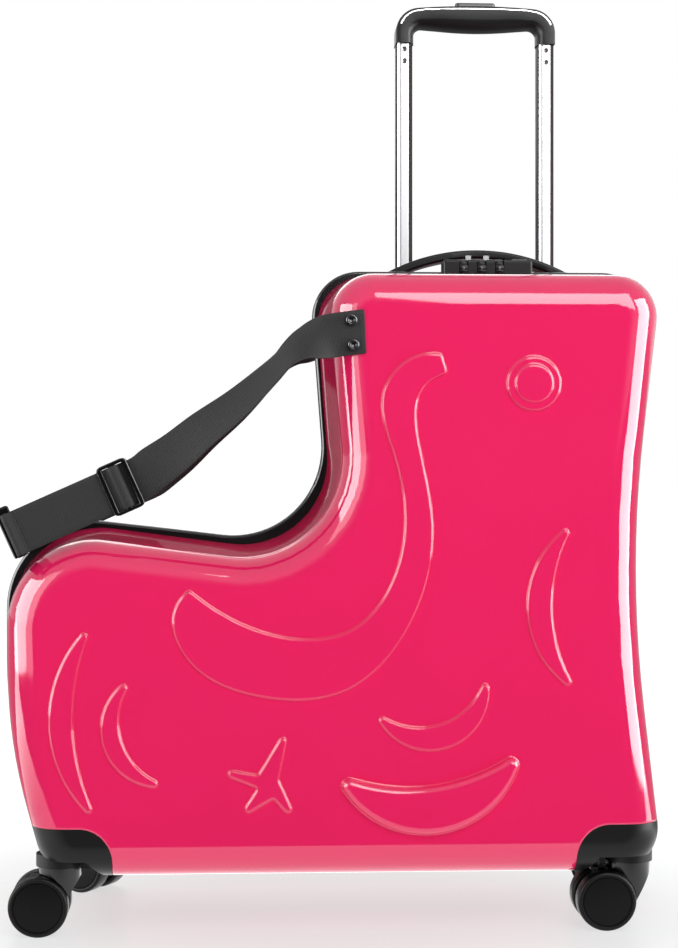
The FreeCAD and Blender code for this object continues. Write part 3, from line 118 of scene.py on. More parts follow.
def cad_copy(node: str) -> BMesh:
    """Take a merged copy of a CAD node's mesh.

    Args:
        node: name of the CAD node.

    Returns:
        A bmesh whose loose triangles share their corners.
    """
    bm = bmesh.new()
    bm.from_mesh(frame["nodes"][node].data)
    bmesh.ops.remove_doubles(bm, verts=bm.verts, dist=MERGE)
    return bm


def add_piece(name: str, bm: BMesh, materials: Sequence[Material], body: str,
              nodes: Iterable[str] = (), angle: float = 35.0) -> Object:
    """Make an object of a bmesh, shade it, and put it on its body.

    Args:
        name: name of the piece.
        bm: finished mesh, which is freed.
        materials: materials in the order of the faces' material numbers.
        body: body that the piece rides on.
        nodes: CAD nodes that the piece stands for.
        angle: edges sharper than this stay sharp, in degrees.

    Returns:
        The new object.
    """
    mesh = bpy.data.meshes.new(name)
    bm.to_mesh(mesh)
    bm.free()
    if "custom_normal" in mesh.attributes:
        mesh.attributes.remove(mesh.attributes["custom_normal"])
    mesh.shade_smooth()
    mesh.set_sharp_from_angle(angle=math.radians(angle))
    for material in materials:
        mesh.materials.append(material)
    piece = bpy.data.objects.new(name, mesh)
    bpy.context.scene.collection.objects.link(piece)
    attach(piece, body)
    nodes = tuple(nodes)
    if nodes:
        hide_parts(*nodes)
    LOG.info("%s: %d faces on %s", name, len(mesh.polygons), body)
    return piece


def even_shading(piece: Object) -> None:
    """Let large flat faces lead the shading, so that rounded edges run smoothly into them.

    Args:
        piece: object to shade.
    """
    modifier = piece.modifiers.new("even_shading", "WEIGHTED_NORMAL")
    modifier.keep_sharp = True
    modifier.weight = 100


def thicken(piece: Object, thickness: float) -> None:
    """Give a sheet its thickness, half to each side.

    Args:
        piece: object whose mesh is the middle of the sheet.
        thickness: in millimetres.
    """
    modifier = piece.modifiers.new("thickness", "SOLIDIFY")
    modifier.thickness = thickness * MM
    modifier.offset = 0.0


def round_edges(piece: Object, width: float, segments: int) -> None:
    """Round the sharp edges of a piece.

    Args:
        piece: object to round.
        width: width of the rounding in millimetres.
        segments: steps across it.
    """
    modifier = piece.modifiers.new("rounded_edges", "BEVEL")
    modifier.width = width * MM
    modifier.segments = segments
    modifier.limit_method = "ANGLE"


def gather(whole: BMesh, small: BMesh) -> None:
    """Move a small bmesh into a larger one.

    Args:
        whole: mesh to add to.
        small: mesh to add, which is freed.
    """
    mesh = bpy.data.meshes.new("small_part")
    small.to_mesh(mesh)
    small.free()
    whole.from_mesh(mesh)
    bpy.data.meshes.remove(mesh)


def everything(bm: BMesh) -> list:
    """All corners, edges and faces of a bmesh."""
    return bm.verts[:] + bm.edges[:] + bm.faces[:]


def distances(points: Sequence[Vector]) -> list[float]:
    """Measure along a line.

    Args:
        points: points of the line in order.

    Returns:
        Way from the first point to each point.
    """
    marks = [0.0]
    for first, second in zip(points, points[1:]):
        marks.append(marks[-1] + (second - first).length)
    return marks


def dress_copy(node: str, name: str, material: Material, angle: float = 35.0) -> Object:
    """Replace a rigid CAD node by a copy of itself with joined, smoothly shaded faces.

    Args:
        node: CAD node to copy.
        name: name of the new piece.
        material: its finish.
        angle: edges sharper than this stay sharp, in degrees.

    Returns:
        The new object.
    """
    bm = cad_copy(node)
    for face in bm.faces:
        face.material_index = 0
    piece = add_piece(name, bm, [material], body_of(node), [node], angle)
    even_shading(piece)
    return piece


def paint_node(node: str, material: Material) -> None:
    """Give a CAD node that keeps its own mesh its finish.

    Args:
        node: name of the CAD node.
        material: its finish.
    """
    mesh = frame["nodes"][node].data
    mesh.materials.clear()
    mesh.materials.append(material)
    LOG.info("%s: finish only", node)


def loft(bm: BMesh, loops: Sequence[Sequence[Vector]], capped: bool) -> None:
    """Bridge closed sections in order.

    Args:
        bm: mesh to add to.
        loops: corners of each section, all of the same count.
        capped: whether the two ends are closed.
    """
    rings = []
    for loop in loops:
        verts = [bm.verts.new(corner) for corner in loop]
        edges = [bm.edges.new(pair) for pair in zip(verts, verts[1:] + verts[:1])]
        rings.append((verts, edges))
    for (_, first), (_, second) in zip(rings, rings[1:]):
        bmesh.ops.bridge_loops(bm, edges=first + second)
    if capped:
        for verts, _ in (rings[0], rings[-1]):
            bm.faces.new(verts)
    bmesh.ops.recalc_face_normals(bm, faces=bm.faces)


def turned(profile: Sequence[Pair], steps: int) -> BMesh:
    """Spin a profile about Z.

    Args:
        profile: radius and height of each corner, in millimetres.
        steps: number of steps round the axis.

    Returns:
        The closed shape.
    """
    bm = bmesh.new()
    verts = [bm.verts.new((radius * MM, 0.0, height * MM)) for radius, height in profile]
    edges = [bm.edges.new(pair) for pair in zip(verts, verts[1:])]
    bmesh.ops.spin(bm, geom=verts + edges, cent=(0, 0, 0), axis=(0, 0, 1), angle=math.tau, steps=steps,
                   use_merge=True)
    bmesh.ops.remove_doubles(bm, verts=bm.verts, dist=MERGE)
    bmesh.ops.recalc_face_normals(bm, faces=bm.faces)
    return bm


def along_axis(axis: Vector, place: Vector) -> Matrix:
    """Matrix that turns Z to an axis and moves the origin to a place."""
    return Matrix.Translation(place) @ axis.to_track_quat("Z", "Y").to_matrix().to_4x4()


def rounded_line(corners: Sequence[Triple], arc_steps: int, run_steps: int) -> list[Vector]:
    """Follow an open line of corners with rounded bends.

    Args:
        corners: x, z and bend radius of each corner; the ends have no bend.
        arc_steps: steps along each bend.
        run_steps: steps along each straight run.

    Returns:
        Points in the XZ plane, as 2-D vectors.
    """
    marks = []
    for index, (x, z, radius) in enumerate(corners):
        here = Vector((x, z))
        if index in (0, len(corners) - 1):
            marks.append([here])
            continue
        back = (Vector(corners[index - 1][:2]) - here).normalized()
        ahead = (Vector(corners[index + 1][:2]) - here).normalized()
        half = back.angle(ahead) / 2
        reach = radius / math.tan(half)
        centre = here + (back + ahead).normalized() * (radius / math.sin(half))
        first = here + back * reach - centre
        last = here + ahead * reach - centre
        arc = []
        for step in range(arc_steps + 1):
            share = step / arc_steps
            spoke = first.lerp(last, share).normalized() * radius
            arc.append(centre + spoke)
        marks.append(arc)
    points = [marks[0][0]]
    for group in marks[1:]:
        start = points[-1]
        points += [start.lerp(group[0], step / run_steps) for step in range(1, run_steps + 1)]
        points += group[1:]
    return points


# Materials

def linear(hex_colour: str) -> tuple[float, float, float, float]:
    """Turn an sRGB colour into linear values.

    Args:
        hex_colour: the colour as #RRGGBB.

    Returns:
        Red, green and blue, with full alpha.
    """
    values = []
    for start in (1, 3, 5):
        part = int(hex_colour[start:start + 2], 16) / 255
        values.append(part / 12.92 if part <= 0.04045 else ((part + 0.055) / 1.055) ** 2.4)
    return values[0], values[1], values[2], 1.0


def per_mm(size: float) -> float:
    """Texture scale on Object coordinates that gives a pattern of this size in millimetres."""
    return 1.0 / (size * MM)


def band_scale(pitch: float) -> float:
    """Scale of a wave texture whose bands repeat after this many millimetres."""
    return math.tau / 20 / (pitch * MM)


def add_node(tree: NodeTree, kind: str, inputs: dict | None = None, **settings: object) -> Node:
    """Add a node with its settings, values and links.

    Args:
        tree: node tree to add to.
        kind: identifier of the node type.
        inputs: value, or output socket to link, for each input name or number.
        settings: fields of the node itself.

    Returns:
        The new node.
    """
    node = tree.nodes.new(kind)
    for key, value in settings.items():
        setattr(node, key, value)
    for key, value in (inputs or {}).items():
        socket = node.inputs[key]
        if isinstance(value, NodeSocket):
            tree.links.new(value, socket)
        else:
            socket.default_value = value
    return node


def new_material(name: str) -> tuple[Material, NodeTree, Node]:
    """Start a material.

    Args:
        name: name of the material.

    Returns:
        The material, its node tree and its shader.
    """
    material = bpy.data.materials.new(name)
    material.use_nodes = True
    tree = material.node_tree
    return material, tree, tree.nodes["Principled BSDF"]


@dataclass(frozen=True)
class MouldedPlastic:
    """Injection moulded plastic: a fine grain from the mould, and a tone that varies a little."""

    name: str
    colour: str
    roughness: float
    grain: float = 0.45
    grain_depth: float = 0.03
    tone_share: float = 0.12
    mirror: float = 0.5
    edge_radius: float = 0.0
    cloud: float = 45.0
    gloss_spread: float = 0.15

    def material(self) -> Material:
        """Build the material.

        Returns:
            The finished material.
        """
        material, tree, shader = new_material(self.name)
        place = add_node(tree, "ShaderNodeTexCoord").outputs["Object"]
        cloud = add_node(tree, "ShaderNodeTexNoise",
                         {"Vector": place, "Scale": per_mm(self.cloud), "Detail": 3.0})
        low = linear(self.colour)
        dark = tuple(value * (1 - self.tone_share) for value in low[:3]) + (1.0,)
        tone = add_node(tree, "ShaderNodeMix", {0: cloud.outputs["Fac"], 6: dark, 7: low}, data_type="RGBA")
        grain = add_node(tree, "ShaderNodeTexNoise",
                         {"Vector": place, "Scale": per_mm(self.grain), "Detail": 2.0})
        gloss = add_node(tree, "ShaderNodeMapRange", {
            "Value": grain.outputs["Fac"], "To Min": self.roughness * (1 - self.gloss_spread),
            "To Max": self.roughness * (1 + self.gloss_spread)})
        bump = add_node(tree, "ShaderNodeBump", {
            "Height": grain.outputs["Fac"], "Distance": self.grain_depth * MM, "Strength": 1.0})
        if self.edge_radius:
            softened = add_node(tree, "ShaderNodeBevel", {"Radius": self.edge_radius * MM}, samples=8)
            tree.links.new(softened.outputs["Normal"], bump.inputs["Normal"])
        tree.links.new(tone.outputs[2], shader.inputs["Base Color"])
        tree.links.new(gloss.outputs["Result"], shader.inputs["Roughness"])
        tree.links.new(bump.outputs["Normal"], shader.inputs["Normal"])
        shader.inputs["IOR"].default_value = 1.5
        shader.inputs["Specular IOR Level"].default_value = self.mirror
        return material


@dataclass(frozen=True)
class ShownMetal:
    """Drawn or plated metal: fine lines along one way break up its reflection."""

    name: str
    colour: str
    roughness: float
    line: float = 0.5
    stretch: Triple = (1.0, 1.0, 1.0)
    line_depth: float = 0.0006
    gloss_spread: float = 0.1

    def material(self) -> Material:
        """Build the material.

        Returns:
            The finished material.
        """
        material, tree, shader = new_material(self.name)
        place = add_node(tree, "ShaderNodeTexCoord").outputs["Object"]
        run = add_node(tree, "ShaderNodeMapping", {"Vector": place, "Scale": self.stretch})
        lines = add_node(tree, "ShaderNodeTexNoise", {
            "Vector": run.outputs["Vector"], "Scale": per_mm(self.line), "Detail": 3.0})
        gloss = add_node(tree, "ShaderNodeMapRange", {
            "Value": lines.outputs["Fac"], "To Min": self.roughness * (1 - self.gloss_spread),
            "To Max": self.roughness * (1 + self.gloss_spread)})
        bump = add_node(tree, "ShaderNodeBump", {
            "Height": lines.outputs["Fac"], "Distance": self.line_depth * MM, "Strength": 1.0})
        tree.links.new(gloss.outputs["Result"], shader.inputs["Roughness"])
        tree.links.new(bump.outputs["Normal"], shader.inputs["Normal"])
        shader.inputs["Base Color"].default_value = linear(self.colour)
        shader.inputs["Metallic"].default_value = 1.0
        return material


@dataclass(frozen=True)
class WovenCloth:
    """Woven threads: two crossed sets of ribs, painted light on the crowns and dark between them as shade.
    """

    name: str
    dark: str
    light: str
    rib: float
    cross: float
    depth: float
    on_uv: bool
    fluff: float = 0.15
    fluff_size: float = 0.8
    roughness: float = 0.75
    mirror: float = 0.25

    def material(self) -> Material:
        """Build the material.

        Returns:
            The finished material.
        """
        material, tree, shader = new_material(self.name)
        source = add_node(tree, "ShaderNodeTexCoord")
        place = source.outputs["UV" if self.on_uv else "Object"]
        ribs = add_node(tree, "ShaderNodeTexWave", {
            "Vector": place, "Scale": band_scale(self.rib), "Distortion": 0.6, "Detail": 1.0},
            bands_direction="X")
        cross = add_node(tree, "ShaderNodeTexWave", {
            "Vector": place, "Scale": band_scale(self.cross), "Distortion": 0.8, "Detail": 1.0},
            bands_direction="Y" if self.on_uv else "Z")
        weave = add_node(tree, "ShaderNodeMath", {0: ribs.outputs["Fac"], 1: cross.outputs["Fac"]},
                         operation="MULTIPLY")
        fluff = add_node(tree, "ShaderNodeTexNoise", {
            "Vector": place, "Scale": per_mm(self.fluff_size), "Detail": 3.0})
        height = add_node(tree, "ShaderNodeMath", {
            0: fluff.outputs["Fac"], 1: self.fluff, 2: weave.outputs["Value"]}, operation="MULTIPLY_ADD")
        # Painted shade: the colour follows the height, dark in the hollows between the threads and light on
        # their crowns; the fluff varies the tone at random.
        tone = add_node(tree, "ShaderNodeMix", {
            0: height.outputs["Value"], 6: linear(self.dark), 7: linear(self.light)}, data_type="RGBA")
        bump = add_node(tree, "ShaderNodeBump", {
            "Height": height.outputs["Value"], "Distance": self.depth * MM, "Strength": 1.0})
        tree.links.new(tone.outputs[2], shader.inputs["Base Color"])
        tree.links.new(bump.outputs["Normal"], shader.inputs["Normal"])
        shader.inputs["Roughness"].default_value = self.roughness
        shader.inputs["Specular IOR Level"].default_value = self.mirror
        return material


class Finishes:
    """All materials of the part, each made once."""

    def __init__(self) -> None:
        """Build every material."""
        # Polished ABS shell: deep colour under a smooth gloss, with a slight long wave in its reflections.
        self.shell = MouldedPlastic("glossy_abs_pink", "#E9205F", 0.06, grain=9.0, grain_depth=0.005,
                                    tone_share=0.04, edge_radius=2.4).material()
        # Extruded vinyl edging: black, wet looking gloss.
        self.piping = MouldedPlastic("extruded_vinyl_black", "#0E0E10", 0.18, grain=3.0,
                                     grain_depth=0.01).material()
        # Spark eroded polypropylene: black with a fine even grain that greys it.
        self.plastic = MouldedPlastic("grained_polypropylene_black", "#0B0A0B", 0.34, grain=0.5,
                                      grain_depth=0.02, tone_share=0.3, mirror=0.16).material()
        # Smooth ABS: black with soft highlights.
        self.gloss = MouldedPlastic("smooth_abs_black", "#080708", 0.16, grain=1.2, grain_depth=0.006,
                                    mirror=0.35).material()
        # Glass filled nylon of the grip's frame: dark grey with a coarser grain.
        self.nylon = MouldedPlastic("grained_nylon_grip", "#0D0C0D", 0.40, grain=0.8, grain_depth=0.05,
                                    tone_share=0.35, mirror=0.20).material()
        # Soft touch rubber of the grip's belly: deep black that hardly mirrors.
        self.rubber = MouldedPlastic("soft_touch_rubber_black", "#050405", 0.42, grain=0.6,
                                     grain_depth=0.01, mirror=0.12).material()
        # Polyurethane tyre: dark grey, a little powdery.
        self.tyre = MouldedPlastic("polyurethane_tyre", "#0A090A", 0.40, grain=0.8, mirror=0.10).material()
        # Filled nylon hub: dark grey with a soft sheen.
        self.hub = MouldedPlastic("moulded_nylon_hub", "#080708", 0.36, grain=0.7, grain_depth=0.015,
                                  mirror=0.08).material()
        # Drawn and polished aluminium: white reflections with fine lines along the tube.
        self.aluminium = ShownMetal("polished_aluminium", "#A0A0A2", 0.34,
                                    stretch=(1.0, 1.0, 0.02)).material()
        # Painted dark reflection on the rounded edges of the tubes, not a finish of the metal: brown black
        # and nearly matt.
        self.anodised = MouldedPlastic("dark_anodised_aluminium", "#1F1617", 0.5, grain=0.6,
                                       grain_depth=0.01, tone_share=0.2, mirror=0.06).material()
        # Bead blasted nickel of the zip pulls: grey with a soft shine.
        self.nickel = ShownMetal("satin_nickel_plating", "#7C7C7E", 0.42, line=0.6).material()
        # Plated trim: mirror bright.
        self.chrome = ShownMetal("chrome_plating", "#D8D8DA", 0.24, line=1.5).material()
        # Zinc plated steel: duller grey.
        self.steel = ShownMetal("zinc_plated_steel", "#A4A5A8", 0.32, line=0.8).material()
        # Black nickel of the rivets: dark, with bright rings where it turns.
        self.rivet = ShownMetal("black_nickel_plating", "#3C3C3E", 0.2, line=0.8).material()
        # Painted shade: black at the bottom of small recesses, where shade falls.
        self.shade = MouldedPlastic("dark_recess", "#060606", 0.6).material()
        # Grey filled engraving of the numbers on the dials.
        self.figure = MouldedPlastic("grey_filled_engraving", "#4C4C4B", 0.5).material()
        # Polyester webbing: ribs 1.7 mm apart along the strap, picks 2.4 mm apart across it.
        self.webbing = WovenCloth("polyester_webbing_black", "#0E0C0D", "#191617", 1.7, 2.4, 0.06,
                                  on_uv=True).material()
        # Zip tape: close woven, a little lighter on its crowns than the webbing.
        self.tape = WovenCloth("woven_zip_tape", "#101012", "#2A292B", 0.9, 0.9, 0.06,
                               on_uv=False).material()
        # Nylon zip coil: smooth black teeth.
        self.coil = MouldedPlastic("nylon_zip_coil", "#19191B", 0.3, grain=0.8, grain_depth=0.01).material()
        # Polyester lining: plain weave drawn coarser than the real thread so that it shows.
        self.lining = WovenCloth("polyester_lining_grey", "#3A3A3E", "#66666C", 1.3, 1.3, 0.08,
                                 on_uv=False).material()


# Case

@dataclass
class CaseHalf:
    """One half of the case: shell, edging, zip and lining."""

    side: Side
    finishes: Finishes
    tooth_pitch: float = 2.6
    tooth_length: float = 1.3
    tooth_height: float = 1.7
    tooth_near: float = 0.15
    tooth_far: float = 2.25
    tooth_cut: float = 1.0
    tooth_sink: float = 0.3
    tooth_round: float = 0.35
    band_steps: int = 420
    band_thickness: float = 0.8
    # Rows of the tape: where the CAD tape is cut, where the row lies, and how far it is drawn in.
    band_rows: tuple[Triple, ...] = (
        (1.0, 0.45, 1.3), (1.0, 2.5, 1.3), (6.0, 3.6, 0.6), (11.0, 11.4, 0.6))
    cloth_cut: Pair = (0.64, 0.66)
    cloth_step: float = 13.0
    cloth_rounds: int = 7
    cloth_wave: float = 0.39
    cloth_wave_size: float = 48.0
    cloth_fold_share: float = 0.4
    cloth_fold_size: float = 16.0
    cloth_fold_shift: Triple = (7.0, 0.0, 0.0)

    def build(self) -> None:
        """Build and dress the half."""
        side = self.side.label
        dress_copy(f"{side}_shell", f"{side}_shell_moulding", self.finishes.shell, 40.0)
        dress_copy(f"{side}_piping", f"{side}_edging", self.finishes.piping, 50.0)
        self.zip_chain()
        self.zip_band()
        self.lining()

    def outline(self, node: str, y: float) -> list[Vector]:
        """Longest line that a plane across Y cuts in a CAD node.

        Args:
            node: CAD node that is cut.
            y: depth of the plane in metres.

        Returns:
            Points in order along the closed line.
        """
        bm = cad_copy(node)
        cut = bmesh.ops.bisect_plane(bm, geom=everything(bm), plane_co=(0, y, 0), plane_no=Y_AXIS)
        edges = {item for item in cut["geom_cut"] if isinstance(item, BMEdge)}
        lines = []
        while edges:
            edge = edges.pop()
            start, tip = edge.verts
            line = [start.co.copy()]
            while tip is not start:
                line.append(tip.co.copy())
                edge = next((other for other in tip.link_edges if other in edges), None)
                if edge is None:
                    break
                edges.discard(edge)
                tip = edge.other_vert(tip)
            lines.append(line)
        bm.free()
        return max(lines, key=lambda line: distances(line)[-1])

    def zip_chain(self) -> None:
        """Row of zip teeth along the whole seam."""
        sign = self.side.value
        side = self.side.label
        line = self.outline(f"{side}_zip_tape", sign * self.tooth_cut * MM)
        line.append(line[0])
        middle = sum(line, Vector()) / len(line)
        bm = bmesh.new()
        pitch = self.tooth_pitch * MM
        # The left row is half a pitch on, so that its teeth mesh with the right row's.
        gone = 0.5 * pitch if self.side is Side.LEFT else 0.0
        width = (self.tooth_far - self.tooth_near) * MM
        depth = sign * (self.tooth_near + self.tooth_far) / 2 * MM
        for start, end in zip(line, line[1:]):
            run = (end - start).length
            if run < MERGE:
                continue
            way = (end - start) / run
            out = way.cross(Y_AXIS)
            if out.dot(start - middle) < 0:
                out = -out
            turn = Matrix((way, Y_AXIS, out)).transposed().to_4x4()
            while gone < run:
                spot = start + way * gone
                place = Matrix.Translation(Vector((spot.x, depth, spot.z)) - out * (self.tooth_sink * MM))
                size = Matrix.Diagonal((self.tooth_length * MM, width, self.tooth_height * MM, 1.0))
                bmesh.ops.create_cube(bm, size=1.0, matrix=place @ turn @ size)
                gone += pitch
            gone -= run
        bmesh.ops.recalc_face_normals(bm, faces=bm.faces)
        teeth = add_piece(f"{side}_zip_teeth", bm, [self.finishes.coil], self.side.body)
        round_edges(teeth, self.tooth_round, 1)

    def even_ring(self, line: list[Vector], depth: float, inset: float) -> list[Vector]:
        """Even points along a closed line, from its foremost point, moved to a depth and inwards.

        Args:
            line: points of the closed line.
            depth: distance from the seam in millimetres.
            inset: way inwards in millimetres.

        Returns:
            Points in order.
        """
        turn = sum(a.x * b.z - b.x * a.z for a, b in zip(line, line[1:] + line[:1]))
        if turn < 0:
            line = line[::-1]
        first = max(range(len(line)), key=lambda index: line[index].x)
        line = line[first:] + line[:first + 1]
        marks = distances(line)
        points = []
        index = 0
        for step in range(self.band_steps):
            goal = marks[-1] * step / self.band_steps
            while marks[index + 1] < goal:
                index += 1
            share = (goal - marks[index]) / max(marks[index + 1] - marks[index], MERGE)
            points.append(line[index].lerp(line[index + 1], share))
        ring = []
        for step, point in enumerate(points):
            way = (points[(step + 1) % len(points)] - points[step - 1]).normalized()
            inside = way.cross(Y_AXIS)
            spot = point + inside * (inset * MM)
            ring.append(Vector((spot.x, self.side.value * depth * MM, spot.z)))
        return ring

    def zip_band(self) -> None:
        """Woven tape that carries the teeth: a ribbon that steps up to them from inside the shell."""
        node = f"{self.side.label}_zip_tape"
        sign = self.side.value * MM
        bm = bmesh.new()
        rings = []
        for cut, depth, inset in self.band_rows:
            rings.append(self.even_ring(self.outline(node, sign * cut), depth, inset))
        loft(bm, rings, False)
        band = add_piece(f"{self.side.label}_zip_band", bm, [self.finishes.tape], self.side.body,
                         [node])
        thicken(band, self.band_thickness)

    def lining(self) -> None:
        """Cloth inside the half: the CAD lining with both its skins, evenly divided and gently rumpled."""
        side = self.side.label
        node = f"{side}_lining"
        bm = cad_copy(node)
        for _ in range(self.cloth_rounds):
            long_edges = [edge for edge in bm.edges if edge.calc_length() > self.cloth_step * MM]
            if not long_edges:
                break
            bmesh.ops.subdivide_edges(bm, edges=long_edges, cuts=1)
            bmesh.ops.triangulate(bm, faces=bm.faces)
        bm.normal_update()
        aside = Vector(self.cloth_fold_shift)
        for vert in bm.verts:
            wave = noise.noise(vert.co * per_mm(self.cloth_wave_size))
            fold = noise.noise(vert.co * per_mm(self.cloth_fold_size) + aside)
            vert.co += vert.normal * ((wave + self.cloth_fold_share * fold) * self.cloth_wave * MM)
        area = sum(face.calc_area() for face in bm.faces) / 2
        cloth = add_piece(f"{side}_lining_cloth", bm, [self.finishes.lining], self.side.body,
                          [node], 60.0)


# Casters

@dataclass
class Caster:
    """One twin wheel caster in its housing."""

    end: End
    side: Side
    finishes: Finishes
    radius: float = 22.5
    width: float = 15.0
    rim: float = 18.6
    steps: int = 72
    # Corners of the cover disc, its groove and the inside of the tyre: way out from the rim, way in from
    # the face.
    disc_corners: Corners = (
        (-1.6, 0.35), (-0.7, 0.5), (-0.3, 1.0), (0.2, 1.0), (0.6, 0.2), (1.2, 0.0))
    # Corners of the tyre's shoulder: way in from the tread, way in from the face.
    shoulder_corners: Corners = ((2.1, 0.0), (1.0, 0.35), (0.35, 1.1), (0.02, 2.3))

    @property
    def label(self) -> str:
        """Words for this corner in names."""
        return f"{self.end.value}_{self.side.label}"

    def build(self) -> None:
        """Build and dress the caster."""
        label = self.label
        dress_copy(f"{label}_caster_housing", f"{label}_wheel_arch", self.finishes.plastic)
        dress_copy(f"{label}_caster_fork", f"{label}_fork_moulding", self.finishes.gloss)
        paint_node(f"{label}_caster_pins", self.finishes.steel)
        for wheel in ("outer", "inner"):
            self.wheel(wheel)
        if self.end is End.FRONT:
            dress_copy(f"{label}_brake_lever", f"{label}_brake_pedal", self.finishes.plastic)

    def wheel(self, place: str) -> None:
        """One wheel: a plain cover disc, a narrow groove, and a tyre with rounded shoulders.

        Args:
            place: outer or inner wheel of the pair.
        """
        node = f"{self.label}_{place}_wheel"
        half = self.width / 2
        outer = [(0.0, half - self.disc_corners[0][1])]
        outer += [(self.rim + out, half - down) for out, down in self.disc_corners]
        outer += [(self.radius - back, half - down) for back, down in self.shoulder_corners]
        inner = [(radius, -height) for radius, height in reversed(outer)]
        bm = turned(outer + [(self.radius, 0.0)] + inner, self.steps)
        for face in bm.faces:
            centre = face.calc_center_median()
            face.material_index = int(math.hypot(centre.x, centre.y) > self.rim * MM)
        low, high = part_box(node)
        axis = Vector(joint_of(f"{node}_spin")["axis"])
        bmesh.ops.transform(bm, matrix=along_axis(axis, (low + high) / 2), verts=bm.verts)
        bmesh.ops.recalc_face_normals(bm, faces=bm.faces)
        add_piece(f"{node}_and_tyre", bm, [self.finishes.hub, self.finishes.tyre], body_of(node),
                  [node], 40.0)


# Trolley handle

